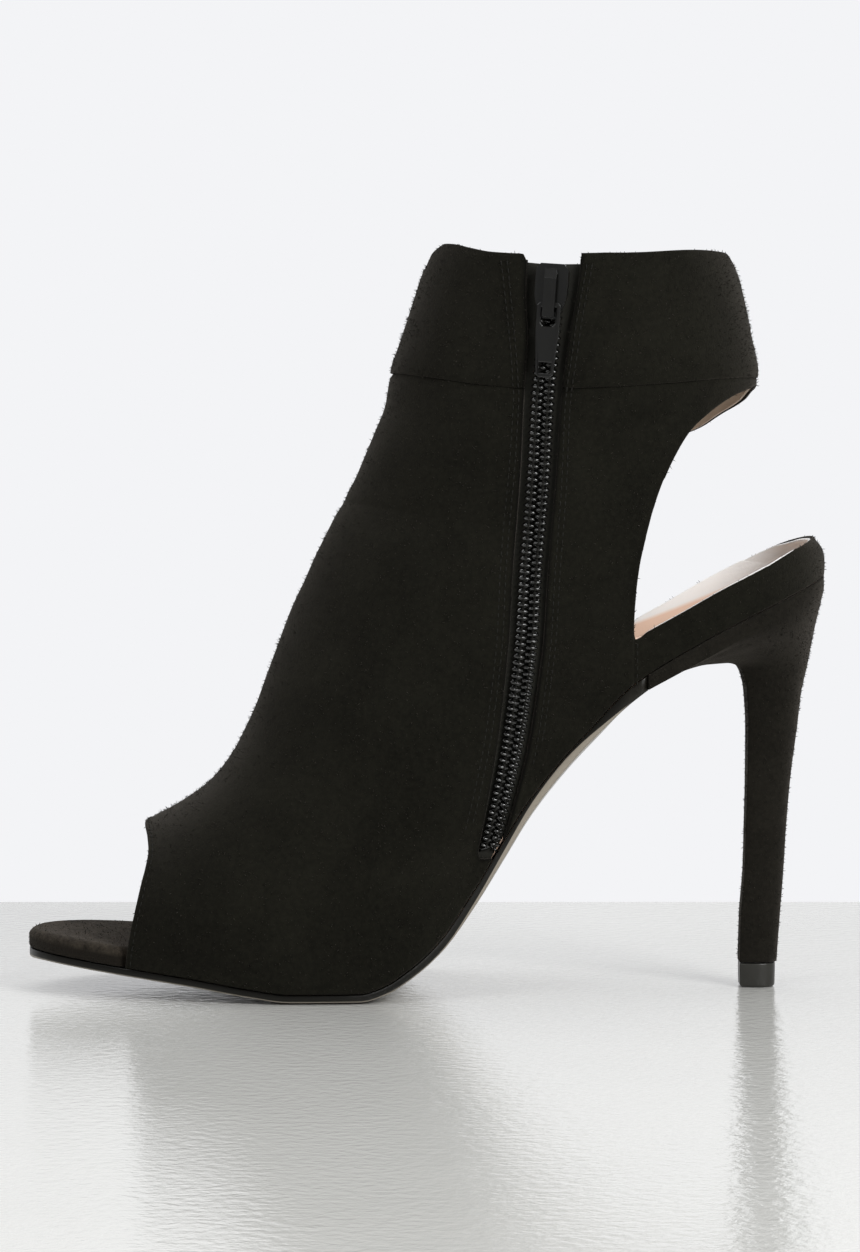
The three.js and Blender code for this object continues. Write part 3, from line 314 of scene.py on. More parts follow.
zipX = smoothLine(zipHeights, along(column(zipRows, 1)))
slotHalf = smoothLine(zipHeights, column(zipRows, 2))
openingCorners = np.stack([along(column(openingRows, 0)), column(openingRows, 1) * collarHeight], -1)


def smoothPath(points, count):  # a smooth line through points, by the way along their chords
    chord = np.concatenate([[0], np.cumsum(np.linalg.norm(np.diff(points, axis=0), axis=1))])
    at = np.linspace(0, chord[-1], count)
    return np.stack([smoothLine(chord, points[:, 0])(at), smoothLine(chord, points[:, 1])(at)], -1)


openingShape = np.concatenate([smoothPath(openingCorners[:16], 150), smoothPath(openingCorners[17:], 100)])


# Signed distance to a closed outline in the side view, positive outside it
def outlineDistance(x, z, shape):
    a, b = shape, np.roll(shape, -1, 0)
    ab = b - a
    px, pz = x[:, None] - a[:, 0], z[:, None] - a[:, 1]
    t = np.clip((px * ab[:, 0] + pz * ab[:, 1]) / (ab**2).sum(1), 0, 1)
    d = np.sqrt(((px - t * ab[:, 0]) ** 2 + (pz - t * ab[:, 1]) ** 2).min(1))
    straddle = (a[:, 1] > z[:, None]) != (b[:, 1] > z[:, None])
    rise = np.where(np.abs(ab[:, 1]) < 1e-9, 1e-9, ab[:, 1])
    hit = straddle & (px < ab[:, 0] * pz / rise)
    return np.where(hit.sum(1) % 2 == 1, -d, d)


def openingEdge(v):  # the outer side's edges lie further down at the strap and further up at the counter
    x, y, z = v.T
    strap = 4.2 * ramp(y, -14, 24) * ramp(x, along(0.8), along(0.862))
    counter = 2.4 * np.clip((y + 45) / 90, 0, 1) * ramp(x, along(0.763), along(0.772))
    return outlineDistance(x, np.where(z > 0.69 * collarHeight, z + strap, z - counter), openingShape)


def toeEdge(v):  # distance behind the toe opening's line: dx / sqrt(1 + lean^2)
    lean = (toeLine(v[:, 2] + 0.5) - toeLine(v[:, 2] - 0.5)) / 1
    return (v[:, 0] - toeLine(v[:, 2])) / np.hypot(1, lean)


def collarEdge(v):  # height left below the collar's line
    return collarLine(v[:, 0]) - v[:, 2]


def seamEdge(v):  # height left below the cuff's seam
    return seamLine(v[:, 0]) - v[:, 2]


def zipSide(v):  # signed distance from the zip's line, far away on the outer side
    z = v[:, 2]
    lean = (zipX(z + 1) - zipX(z - 1)) / 2
    return np.where(v[:, 1] < 0, (v[:, 0] - zipX(z)) / np.hypot(1, lean), 60.0)


def slotEdge(v):  # distance outside the zip's slot: beside it or below its end
    z = v[:, 2]
    return np.maximum(np.abs(zipSide(v)) - np.maximum(slotHalf(z), 1), zipHeights[0] - z)


quarterSeam = 51.4  # the upright seam below the cut-out's front corner


# Soft folds, listed one by one: side, (place, height) of both ends as shares, depth (- is a trough) and width
# in mm
foldRows = [
    (-1, (0.27, 0.36), (0.42, 0.25), -0.55, 7.0),
    (-1, (0.30, 0.42), (0.47, 0.34), 0.45, 8.0),
    (-1, (0.36, 0.52), (0.53, 0.45), -0.5, 9.0),
    (-1, (0.44, 0.70), (0.56, 0.64), 0.35, 9.0),
    (-1, (0.69, 0.42), (0.74, 0.66), 0.4, 6.0),
    (-1, (0.68, 0.74), (0.80, 0.77), -0.35, 5.0),
    (1, (0.27, 0.34), (0.45, 0.26), -0.6, 7.5),
    (1, (0.31, 0.44), (0.50, 0.35), 0.45, 8.0),
    (1, (0.37, 0.54), (0.60, 0.46), -0.5, 9.0),
    (1, (0.46, 0.72), (0.66, 0.66), 0.4, 10.0),
    (1, (0.66, 0.44), (0.73, 0.68), 0.4, 7.0),
]
cuffFolds = [
    (-1, (0.50, 0.85), (0.53, 0.97), 0.35, 4.5),
    (-1, (0.57, 0.84), (0.575, 0.97), -0.3, 5.0),
    (-1, (0.72, 0.84), (0.75, 0.97), 0.35, 6.0),
    (-1, (0.80, 0.84), (0.79, 0.97), -0.3, 5.0),
    (1, (0.55, 0.84), (0.57, 0.97), -0.35, 6.0),
    (1, (0.66, 0.84), (0.67, 0.97), 0.35, 7.0),
    (1, (0.78, 0.84), (0.77, 0.97), -0.35, 6.0),
]


def folds(v, rows):  # sum of depth * exp(-(d / width)^2), d being the distance from each fold's line
    total = np.zeros(len(v))
    for side, start, end, depth, width in rows:
        a = np.array([along(start[0]), start[1] * collarHeight])
        b = np.array([along(end[0]), end[1] * collarHeight])
        flat = v[:, [0, 2]] - a
        t = np.clip(flat @ (b - a) / ((b - a) @ (b - a)), 0, 1)
        d = np.linalg.norm(flat - t[:, None] * (b - a), axis=1)
        total += depth * np.exp(-((d / width) ** 2)) * ramp(side * v[:, 1], 1, 12)
    return total


# Meshes

def makeObject(name, points, faces, smooth=True, values=None):  # points in mm, named values on them
    mesh = bpy.data.meshes.new(name)
    mesh.from_pydata((np.asarray(points) * 0.001).tolist(), [], faces)
    mesh.validate()
    if smooth:
        mesh.polygons.foreach_set("use_smooth", np.ones(len(mesh.polygons), bool))
    for key, value in (values or {}).items():
        spot = mesh.attributes.new(key, "FLOAT", "POINT")
        spot.data.foreach_set("value", np.asarray(value, np.float32))
    made = bpy.data.objects.new(name, mesh)
    bpy.context.scene.collection.objects.link(made)
    return made


# Splits the triangles that cross a level of a field, each along one straight cut
def splitAt(par, tris, field, level):
    g = field(skin(par[:, 0], par[:, 1])) - level
    g = np.where(np.abs(g) < 0.05, 0, g)
    sign = np.sign(g)[tris]
    mixed = (sign.min(1) < 0) & (sign.max(1) > 0)
    cut, sign = tris[mixed], sign[mixed]
    touching = (sign == 0).any(1)
    lone = np.where(touching, np.argmax(sign == 0, 1), np.argmax(sign == -sign.sum(1)[:, None], 1))
    cut = cut[np.arange(len(cut))[:, None], (lone[:, None] + np.arange(3)) % 3]
    a, b, c = cut[~touching].T
    d, e, f = cut[touching].T
    edges = np.sort(np.concatenate([np.stack([a, b], 1), np.stack([a, c], 1), np.stack([e, f], 1)]), 1)
    kept, index = np.unique(edges, axis=0, return_inverse=True)
    index = index.reshape(-1) + len(par)
    share = g[kept[:, 0]] / (g[kept[:, 0]] - g[kept[:, 1]])
    fresh = par[kept[:, 0]] + (par[kept[:, 1]] - par[kept[:, 0]]) * share[:, None]
    n = len(a)
    ab, ac, ef = index[:n], index[n:2 * n], index[2 * n:]
    parts = [(a, ab, ac), (ab, b, c), (ab, c, ac), (d, e, ef), (d, ef, f)]
    tris = np.concatenate([tris[~mixed]] + [np.stack(part, 1) for part in parts])
    return np.concatenate([par, fresh]), tris


# A closed sheet of the skin between two distances from it. Cut lines are where the field is 0, and
# the levels above 0 put rows of points along them so that the turned edge is truly round.
def shell(name, first, last, rows, columns, field, levels, over, under, values=None):
    count = max(2, round(rows * (closing - first) / (last - first))) if first < closing else 0
    start = max(first, closing)
    p = start + (last - start) * np.linspace(0, 1, rows - count + 1) ** 1.4
    if count:
        p = np.concatenate([closing - (closing - first) * (1 - np.linspace(0, 1, count + 1)[:-1]) ** 1.15, p])
    pp, cc = np.meshgrid(p, np.linspace(-1, 1, columns + 1), indexing="ij")
    par = np.stack([pp.ravel(), cc.ravel()], 1)
    i, j = np.meshgrid(np.arange(rows), np.arange(columns), indexing="ij")
    a = (i * (columns + 1) + j).ravel()
    b, c, d = a + columns + 1, a + columns + 2, a + 1
    tris = np.concatenate([np.stack([a, b, c], 1), np.stack([a, c, d], 1)])
    for level in [0, *levels]:
        par, tris = splitAt(par, tris, field, level)
        if level == 0:
            g = field(skin(par[:, 0], par[:, 1]))
            tris = tris[g[tris].mean(1) > 1e-3]
    used, tris = np.unique(tris, return_inverse=True)
    par, tris = par[used], tris.reshape(-1, 3)
    base = skin(par[:, 0], par[:, 1])
    _, firsts, weld = np.unique(np.round(base, 3) + 0.0, axis=0, return_index=True, return_inverse=True)
    par, base, tris = par[firsts], base[firsts], weld.reshape(-1)[tris]
    tris = tris[(tris[:, 0] != tris[:, 1]) & (tris[:, 1] != tris[:, 2]) & (tris[:, 2] != tris[:, 0])]
    g = np.maximum(field(base), 0)
    normal = skinNormal(par[:, 0], par[:, 1])
    outer = base + normal * over(g, base)[:, None]
    inner = base + normal * under(g, base)[:, None]
    n = len(base)
    edges = np.concatenate([tris[:, [0, 1]], tris[:, [1, 2]], tris[:, [2, 0]]])
    key, back = edges[:, 0] * n + edges[:, 1], edges[:, 1] * n + edges[:, 0]
    rim = edges[~np.isin(key, back)]
    walls = np.stack([rim[:, 1], rim[:, 0], rim[:, 0] + n, rim[:, 1] + n], 1)
    faces = tris.tolist() + (tris[:, ::-1] + n).tolist() + walls.tolist()
    kept = {key: np.tile(value(base), 2) for key, value in (values or {}).items()}
    return makeObject(name, np.concatenate([outer, inner]), faces, values=kept)


def turnedEdge(g, radius):  # nearly a quarter circle, 0.88 r * (1 - sqrt(1 - (1 - g / r)^2))
    return 0.88 * radius * (1 - roundOff(g, radius))


# A grid of points as a mesh, closed round its columns or rows where asked
def gridFaces(rows, columns, ring=False, flip=False):
    i, j = np.meshgrid(np.arange(rows - 1), np.arange(columns if ring else columns - 1), indexing="ij")
    a = (i * columns + j).ravel()
    d = (i * columns + (j + 1) % columns).ravel()
    faces = np.stack([a, a + columns, d + columns, d], 1)
    return faces[:, ::-1] if flip else faces


# Faces of a flat body between two grids of n by k points, the first above the second, with its four sides
def slabFaces(n, k):
    def strip(a, step):
        return np.stack([a, a + n * k, a + step + n * k, a + step], 1)

    i, j = np.arange(n - 1) * k, np.arange(k - 1)
    turned = [0, 3, 2, 1]
    sides = [strip(i, k), strip(i + k - 1, k)[:, turned], strip(j, 1)[:, turned]]
    sides.append(strip(j + (n - 1) * k, 1)[:, [1, 2, 3, 0]])
    return np.concatenate([gridFaces(n, k), gridFaces(n, k, flip=True) + n * k, *sides])


# Joins coinciding points and drops faces that fall together
def welded(points, faces):
    _, firsts, index = np.unique(np.round(points, 4) + 0.0, axis=0, return_index=True, return_inverse=True)
    faces = index.reshape(-1)[np.asarray(faces)]
    clean = []
    for face in faces.tolist():
        corners = [v for k, v in enumerate(face) if v != face[k - 1]]
        if len(set(corners)) == len(corners) and len(corners) > 2:
            clean.append(corners)
    return points[firsts], clean, firsts


# A board between two heights inside an outline. Its edge distance is (h^2 - y^2) / (2 * sqrt(y^2 + (h h')^2))
# and within each rounding radius the face falls away as a quarter circle. The attribute "trim" is the height
# above the underside less that of the strip along its rim, "tail" is below 0 near the heel.
def board(name, x, halfWidth, low, high, roundLow, roundHigh, columns, strip=None):
    w = np.sin(np.linspace(-1, 1, columns) * np.pi / 2)
    half = halfWidth(x)
    squared = (halfWidth(x + 0.05) ** 2 - halfWidth(x - 0.05) ** 2) / 0.2
    y = half[:, None] * w
    away = (half[:, None] ** 2 - y**2) / (2 * np.sqrt(y**2 + squared[:, None] ** 2) + 1e-9)
    xx = np.broadcast_to(x[:, None], y.shape)
    topFall = roundHigh * (1 - roundOff(away, roundHigh))
    lowRise = roundLow * (1 - roundOff(away, roundLow))
    top = np.stack([xx, y + middleLine(xx), high(xx, w) - topFall], -1)
    under = np.stack([xx, y + middleLine(xx), low(xx, w) + lowRise], -1)
    n, k = y.shape
    points = np.concatenate([top.reshape(-1, 3), under.reshape(-1, 3)])
    trim = np.full(len(points), 9.0)
    if strip is not None:
        trim = np.concatenate([(top - under)[..., 2] + lowRise, lowRise]) - np.tile(strip(xx), (2, 1))
    points, faces, kept = welded(points, slabFaces(n, k))
    tail = along(0.745) - points[:, 0]
    return makeObject(name, points, faces, values={"trim": trim.ravel()[kept], "tail": tail})


# Many copies of one small shape, each with its own place and three directions
def copies(name, shape, faces, places, directions):
    points = places[:, None] + np.einsum("nij,ki->nkj", directions, shape)
    n = len(shape)
    every = (np.asarray(faces)[None] + np.arange(len(places))[:, None, None] * n).reshape(-1, len(faces[0]))
    return makeObject(name, points.reshape(-1, 3), every.tolist())


# A stitch: a short bar of thread, its radius falling as sqrt(1 - u^4) to both ends, bowed into the leather
def stitchShape(length, radius, sides=6, rings=7):
    u = np.linspace(-1, 1, rings)
    size = radius * np.sqrt(np.maximum(0.02, 1 - u**4))
    turn = np.arange(sides) / sides * 2 * np.pi
    across = size[:, None] * np.cos(turn)
    out = size[:, None] * np.sin(turn) - radius * 0.9 * u[:, None] ** 2
    line = np.broadcast_to((u * length / 2)[:, None], across.shape)
    return np.stack([line, across, out], -1).reshape(-1, 3), gridFaces(rings, sides, ring=True)


# Stitches at an even pitch along a path, lying on the surface
def stitchRow(name, path, normal, pitch, length, radius, sink):
    step = np.concatenate([[0], np.cumsum(np.linalg.norm(np.diff(path, axis=0), axis=1))])
    marks = np.arange(pitch / 2, step[-1], pitch)
    at = np.stack([np.interp(marks, step, path[:, k]) for k in range(3)], -1)
    out = unit(np.stack([np.interp(marks, step, normal[:, k]) for k in range(3)], -1))
    ahead = np.stack([np.interp(marks + 0.3, step, path[:, k]) for k in range(3)], -1)
    line = unit(ahead - at)
    across = unit(np.cross(out, line))
    shape, faces = stitchShape(length, radius)
    turns = np.stack([line, across, np.cross(line, across)], 1)
    return copies(name, shape, faces, at + out * (radius - sink), turns)


def join(name, parts):  # several objects made one
    with bpy.context.temp_override(active_object=parts[0], selected_editable_objects=parts):
        bpy.ops.object.join()
    parts[0].name = name
    return parts[0]


# Materials

def shaderTree(name):  # a new material, its shader, and a short way to add and link nodes
    material = bpy.data.materials.new(name)
    material.use_nodes = True
    tree = material.node_tree
    shader = tree.nodes["Principled BSDF"]

    def add(kind, inputs=None, **settings):
        node = tree.nodes.new(kind)
        for key, value in settings.items():
            setattr(node, key, value)
        for key, value in (inputs or {}).items():
            if isinstance(value, bpy.types.NodeSocket):
                tree.links.new(value, node.inputs[key])
            else:
                node.inputs[key].default_value = value
        return node

    return material, shader, add, tree.links.new


def ramped(add, value, low, high):  # a value spread over 0 to 1 between two limits
    node = add("ShaderNodeMapRange", {"Value": value, "From Min": low, "From Max": high})
    return node.outputs["Result"]


# Suede: fine fibres as bump, brushed patches and dusty flecks as tone, a soft sheen at glancing angles
def suede(name, dark, light, nap=1.0, sheen=0.16, mottle=0.4, patches=48):
    material, shader, add, link = shaderTree(name)
    place = add("ShaderNodeTexCoord").outputs["Object"]
    drawn = add("ShaderNodeMapping", {"Vector": place, "Scale": (1, 1, 0.45)}).outputs["Vector"]
    fibre = add("ShaderNodeTexNoise", {"Vector": drawn, "Scale": 3800, "Detail": 3, "Roughness": 0.65})
    clump = add("ShaderNodeTexNoise", {"Vector": place, "Scale": 900, "Detail": 3, "Roughness": 0.6})
    patch = add("ShaderNodeTexNoise", {
        "Vector": place, "Scale": patches, "Detail": 4, "Roughness": 0.6, "Distortion": 0.6,
    })
    fleck = add("ShaderNodeTexNoise", {"Vector": place, "Scale": 2300, "Detail": 1, "Roughness": 0.4})
    quarter = add("ShaderNodeAttribute", attribute_name="quarter").outputs["Fac"]
    rim = add("ShaderNodeAttribute", attribute_name="slotShade").outputs["Fac"]
    trim = add("ShaderNodeAttribute", attribute_name="trim").outputs["Fac"]
    aside = add("ShaderNodeMath", {0: quarter, 1: 50.0}, operation="SUBTRACT").outputs[0]
    aside = add("ShaderNodeMath", {0: aside}, operation="ABSOLUTE").outputs[0]
    seam = ramped(add, aside, 0.0, 0.55)
    spread = ramped(add, patch.outputs["Fac"], 0.35, 0.7)
    tone = add("ShaderNodeMath", {0: spread, 1: mottle}, operation="MULTIPLY")
    for source, share in ((clump, 0.45), (fibre, 0.3)):
        spread = ramped(add, source.outputs["Fac"], 0.35, 0.7)
        tone = add("ShaderNodeMath", {0: spread, 1: share, 2: tone.outputs[0]}, operation="MULTIPLY_ADD")
    colour = add("ShaderNodeMix", {
        "Factor": tone.outputs[0], "A": (*dark, 1), "B": (*light, 1),
    }, data_type="RGBA")
    dust = add("ShaderNodeMix", {
        "Factor": ramped(add, fleck.outputs["Fac"], 0.74, 0.84),
        "A": colour.outputs["Result"],
        "B": (*[c * 1.9 for c in light], 1),
    }, data_type="RGBA")
    # painted shade: the suede's turned edge along the zip is painted darker
    shaded = add("ShaderNodeMix", {
        "Factor": rim, "A": dust.outputs["Result"], "B": (*[c * 0.5 for c in dark], 1),
    }, data_type="RGBA")
    side = add("ShaderNodeMix", {  # painted shade: the wrapped edge of a board is painted darker than its top
        "Factor": ramped(add, trim, -1.2, -0.2),
        "A": (*[c * 0.26 for c in light], 1),
        "B": shaded.outputs["Result"],
    }, data_type="RGBA")
    link(side.outputs["Result"], shader.inputs["Base Color"])
    height = fibre.outputs["Fac"]
    for source, share in ((clump.outputs["Fac"], 0.35), (seam, 1.6)):
        height = add("ShaderNodeMath", {0: source, 1: share, 2: height}, operation="MULTIPLY_ADD").outputs[0]
    bump = add("ShaderNodeBump", {"Height": height, "Strength": 0.7 * nap, "Distance": 0.0003})
    link(bump.outputs["Normal"], shader.inputs["Normal"])
    shader.inputs["Roughness"].default_value = 1.0
    shader.inputs["Specular IOR Level"].default_value = 0.12
    shader.inputs["Sheen Weight"].default_value = sheen
    shader.inputs["Sheen Roughness"].default_value = 0.45
    shader.inputs["Sheen Tint"].default_value = (0.62, 0.55, 0.48, 1)
    return material


# Plain finishes with fine grain: noise moves the tone and the roughness a little, and the surface as bump
def plain(name, colour, rough, scale, bumpHeight, metal=0.0, coat=0.0, vary=0.15, specular=0.5, zones=()):
    material, shader, add, link = shaderTree(name)
    place = add("ShaderNodeTexCoord").outputs["Object"]
    grain = add("ShaderNodeTexNoise", {"Vector": place, "Scale": scale, "Detail": 4, "Roughness": 0.55})
    broad = add("ShaderNodeTexNoise", {"Vector": place, "Scale": scale / 14, "Detail": 3})
    tone = add("ShaderNodeMix", {
        "Factor": ramped(add, broad.outputs["Fac"], 0.3, 0.7),
        "A": (*[c * (1 - vary) for c in colour], 1),
        "B": (*[min(1, c * (1 + vary)) for c in colour], 1),
    }, data_type="RGBA")
    for field, width, other in zones:  # another colour where the named attribute is below 0
        value = add("ShaderNodeAttribute", attribute_name=field).outputs["Fac"]
        tone = add("ShaderNodeMix", {
            "Factor": ramped(add, value, -width, width), "A": (*other, 1), "B": tone.outputs["Result"],
        }, data_type="RGBA")
    link(tone.outputs["Result"], shader.inputs["Base Color"])
    worn = add("ShaderNodeMapRange", {
        "Value": broad.outputs["Fac"], "From Min": 0.3, "From Max": 0.7,
        "To Min": rough * 0.85, "To Max": min(1, rough * 1.2),
    })
    link(worn.outputs["Result"], shader.inputs["Roughness"])
    bump = add("ShaderNodeBump", {"Height": grain.outputs["Fac"], "Strength": 0.5, "Distance": bumpHeight})
    link(bump.outputs["Normal"], shader.inputs["Normal"])
    shader.inputs["Metallic"].default_value = metal
    shader.inputs["Coat Weight"].default_value = coat
    shader.inputs["Coat Roughness"].default_value = 0.12
    shader.inputs["Specular IOR Level"].default_value = specular
    return material


blackSuede = suede("black suede", (0.0023, 0.0022, 0.0011), (0.0107, 0.0103, 0.0069))
heelSuede = suede("heel suede", (0.0045, 0.004, 0.0028), (0.0155, 0.0138, 0.0105), nap=0.8)
insoleSuede = suede("insole suede", (0.0005, 0.0004, 0.0003), (0.047, 0.0385, 0.029), 1.3, 0.12, 0.75, 300)
# one lining leather in three painted tones: its tan base is the shaded copy, near-white on the counter is
# painted light, and the warm band low on the counter is painted shade with warm bounce from the sock
liningLeather = plain(
    "lining leather", (0.43, 0.34, 0.262), 0.45, 1800, 0.00012, vary=0.06,
    zones=(("counter", 0.4, (0.95, 0.94, 0.925)), ("trim", 0.5, (0.88, 0.64, 0.5))),
)
sockLeather = plain("sock leather", (0.74, 0.53, 0.4), 0.4, 1500, 0.00012, vary=0.06)
soleLacquer = plain(
    "sole lacquer", (0.007, 0.0066, 0.005), 0.32, 500, 0.00012, coat=0.06, specular=0.22,
    zones=(("trim", 0.08, (0.27, 0.24, 0.198)), ("tail", 1.5, (0.0125, 0.0113, 0.0085))),
)
tipPlastic = plain("tip plastic", (0.021, 0.0203, 0.0165), 0.4, 1600, 0.00005)
threadBlack = plain("black thread", (0.0085, 0.0082, 0.0062), 0.7, 4000, 0.00006, specular=0.25)
coilNylon = plain("coil nylon", (0.004, 0.004, 0.0035), 0.12, 900, 0.00002, coat=0.9)
# the tape's tone is partly its own suede-like colour and partly painted light, raised to stand in for the
# light it misses in the slot
tapeCloth = plain("tape cloth", (0.017, 0.0165, 0.0132), 0.9, 3500, 0.0003, specular=0.2)
coilThreadCloth = plain("coil thread", (0.0075, 0.0073, 0.006), 0.8, 3500, 0.0002, specular=0.2)
blackMetal = plain("lacquered metal", (0.003, 0.003, 0.0025), 0.28, 600, 0.00003, coat=0.8, specular=0.3)


def finish(piece, material):  # gives a fixed piece its material and slot and ties it to the shoe
    piece.data.materials.clear()
    piece.data.materials.append(material)
    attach(piece, "shoe")
    return piece


# Upper, cuff and lining

# Suede of the upper: 0.95 mm thick, turned in to 1.75 mm along the zip, going on under the cuff
upperCut = {"rows": 190, "columns": 150, "thick": 0.95, "turnIn": 0.8, "fold": 0.47, "bed": 0.5, "below": 1.0}


def upperField(v):  # above 0 behind the toe line, outside cut-out and slot, below the collar
    return np.minimum.reduce([toeEdge(v), openingEdge(v), slotEdge(v), collarEdge(v) - upperCut["below"]])


def upperOver(g, v):  # folds, the turned edge, the stitched line, and a step down into the bed of the cuff
    bed = upperCut["bed"] * ramp(-seamEdge(v), -0.3, 0.5)
    stitched = -0.1 * np.exp(-(((g - 1.6) / 0.5) ** 2)) * ramp(seamEdge(v), 0, 2)
    soft = folds(v, foldRows) * ramp(g, 0, 8) * ramp(seamEdge(v), 0, 6)
    return soft - turnedEdge(g, upperCut["fold"]) - bed + stitched


def upperUnder(g, v):  # the thickness, the strip turned in along the zip, a step behind the cuff
    turnIn = upperCut["turnIn"] * (1 - ramp(slotEdge(v), 3.2, 3.8)) * ramp(seamEdge(v), 0, 1)
    lower = 0.35 * ramp(-seamEdge(v), -0.3, 0.5)
    return -upperCut["thick"] - turnIn - lower + turnedEdge(g, upperCut["fold"])


def quarterAt(v):  # 50 on the upright seam below the cut-out's front corner, counted in mm
    low = (v[:, 1] < 0) & (v[:, 2] < 92)
    return np.where(low, 50 + v[:, 0] - quarterSeam, 90.0)


def slotShadeAt(v):  # 1 on the turned edge along the zip, where the suede is given painted shade
    return 1 - ramp(slotEdge(v), 0.15, 0.8)


upper = shell(
    "upper_suede", -4, lastStation, upperCut["rows"], upperCut["columns"], upperField,
    [0.07, 0.23, 0.47, 1.1, 2.1, 3.6], upperOver, upperUnder, {"quarter": quarterAt, "slotShade": slotShadeAt},
)
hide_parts("upper")
finish(upper, blackSuede)
print("upper", len(upper.data.polygons), "faces")

cuffCut = {"rows": 46, "columns": 170, "over": 0.38, "under": -0.4, "fold": 0.38}


def cuffField(v):  # above 0 between collar and seam, outside cut-out and slot
    return np.minimum.reduce([collarEdge(v), openingEdge(v), slotEdge(v), -seamEdge(v) - 0.12])


def cuffOver(g, v):  # raised a little, fuller away from its edges, with its own folds
    puff = 0.22 * ramp(g, 0.3, 2.6)
    return cuffCut["over"] + puff + folds(v, cuffFolds) * ramp(g, 0, 6) - turnedEdge(g, cuffCut["fold"])


def cuffUnder(g, v):  # lies in the bed of the upper
    return cuffCut["under"] + turnedEdge(g, cuffCut["fold"])


cuff = shell(
    "cuff_band", stations[lastOnSole + 2], lastStation, cuffCut["rows"], cuffCut["columns"],
    cuffField, [0.06, 0.18, 0.38, 1.2, 2.6], cuffOver, cuffUnder, {"slotShade": slotShadeAt},
)
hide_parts("cuff")
finish(cuff, blackSuede)

# Lining: smooth leather on the inside, level with the suede's edges at the openings
liningCut = {"rows": 120, "columns": 110, "over": -1.0, "under": -1.8, "fold": 0.3}


def liningField(v):  # the upper's edges, each drawn back by the lining's own margin
    return np.minimum.reduce([toeEdge(v) - 0.6, openingEdge(v) - 0.1, slotEdge(v) - 3.9, collarEdge(v) - 0.5])


def liningOver(g, v):  # the face towards the suede, a step further in behind the cuff
    return liningCut["over"] - 0.36 * ramp(-seamEdge(v), -0.3, 0.5) - turnedEdge(g, liningCut["fold"])


def liningUnder(g, v):  # the face towards the foot
    return liningCut["under"] + 0.7 * turnedEdge(g, liningCut["fold"])


# where the lining gets painted light (near-white on the counter) and painted shade (the warm band below it)
paintedLightCut = {"ahead": 6.0, "top": 122.0, "shadeBandTop": 90.9, "shadeBandFrom": 54.4, "shadeBandSlope": 0.4}


def litCounterAt(v):  # below 0 on the counter behind the upright seam, where the lining is painted near-white as painted light
    return np.maximum(quarterSeam - paintedLightCut["ahead"] - v[:, 0], v[:, 2] - paintedLightCut["top"])


def shadeBandAt(v):  # below 0 on the lower part of the counter, painted shade with warm bounce from the sock
    rise = paintedLightCut["shadeBandSlope"] * (v[:, 0] - paintedLightCut["shadeBandFrom"])
    return np.maximum(litCounterAt(v), v[:, 2] - paintedLightCut["shadeBandTop"] - rise)


lining = shell(
    "lining", -4, lastStation, liningCut["rows"], liningCut["columns"], liningField, [0.08, 0.3, 1.2],
    liningOver, liningUnder, {"counter": litCounterAt, "trim": shadeBandAt},
)
finish(lining, liningLeather)
print("cuff and lining", len(cuff.data.polygons) + len(lining.data.polygons), "faces")

# Insole and sole

half = boot["length"] / 2


def rounded(start, end, count, roundEnd=False):  # places closer together at the round start or end
    q = np.pi / 2 * np.linspace(0, 1, count)
    return start + (end - start) * (np.sin(q) if roundEnd else 1 - np.cos(q))


# Toe board wrapped in suede: 4.9 mm thick in front of the toe opening, going on inside the upper
boardCut = {"toe": 4.9, "waist": 2.4, "from": 0.2, "to": 0.5, "edge": 2.0, "dish": 0.4}


def boardThickness(x):  # eased from the toe's thickness to the waist's by 3t^2 - 2t^3
    t = np.clip((x - along(boardCut["from"])) / (along(boardCut["to"]) - along(boardCut["from"])), 0, 1)
    return boardCut["toe"] + (boardCut["waist"] - boardCut["toe"]) * t * t * (3 - 2 * t)


def boardHalf(x):  # the full outline in front, inside the wall behind the toe opening
    inset = 3.1 * ramp(x, along(0.118), along(0.136)) + 0.8 * ramp(x, along(0.8), along(0.88))
    return np.maximum(outlineHalf(x) - inset, 0)


def boardTop(x, w):  # dished by dish * (1 - w^2)
    slope = np.hypot(1, ground(x + 0.5) - ground(x - 0.5))
    return feather(x) + boardThickness(x) * slope - boardCut["dish"] * (1 - w**2)


# its strip of 3.4 mm marks the board's wrapped side, which gets painted shade in the suede
toeBoard = board(
    "toe_board", rounded(-half, along(0.5), 90), boardHalf, lambda x, w: feather(x) + 0 * w, boardTop,
    0.4, boardCut["edge"], 44, lambda x: 3.4 + 0 * x,
)
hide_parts("insole")
finish(toeBoard, insoleSuede)

# Sock: the cream leather under the foot from the ball to the back of the seat
sockCut = {"start": 0.42, "inset": 3.3, "thickness": 0.7, "cup": 1.2}


def sockHalf(x):  # inside the wall, drawn in a little more at the seat
    return np.maximum(outlineHalf(x) - sockCut["inset"] - 0.6 * ramp(x, along(0.8), along(0.88)), 0)


def sockTop(x, w):  # board and sock together, its rim turned up by cup * w^4
    slope = np.hypot(1, ground(x + 0.5) - ground(x - 0.5))
    return feather(x) + (boardThickness(x) + sockCut["thickness"]) * slope + sockCut["cup"] * w**4


sockPlaces = rounded(along(sockCut["start"]), half - 3.5, 90, True)
sock = board(
    "sock", sockPlaces, sockHalf, lambda x, w: feather(x) + 0.1 + 0 * w, sockTop, 0.3, 0.5, 36,
)
finish(sock, sockLeather)

# Outsole: lacquered edge, domed underside that rises a little to its rims and thickens towards the heel,
# the bare underside showing as a strip along the rim of the waist
soleCut = {"toeInset": 0.35, "inset": 0.9, "crown": 1.6, "lift": 0.5, "end": 0.7735, "full": 0.8}
heelFront = float(along(soleCut["end"]))


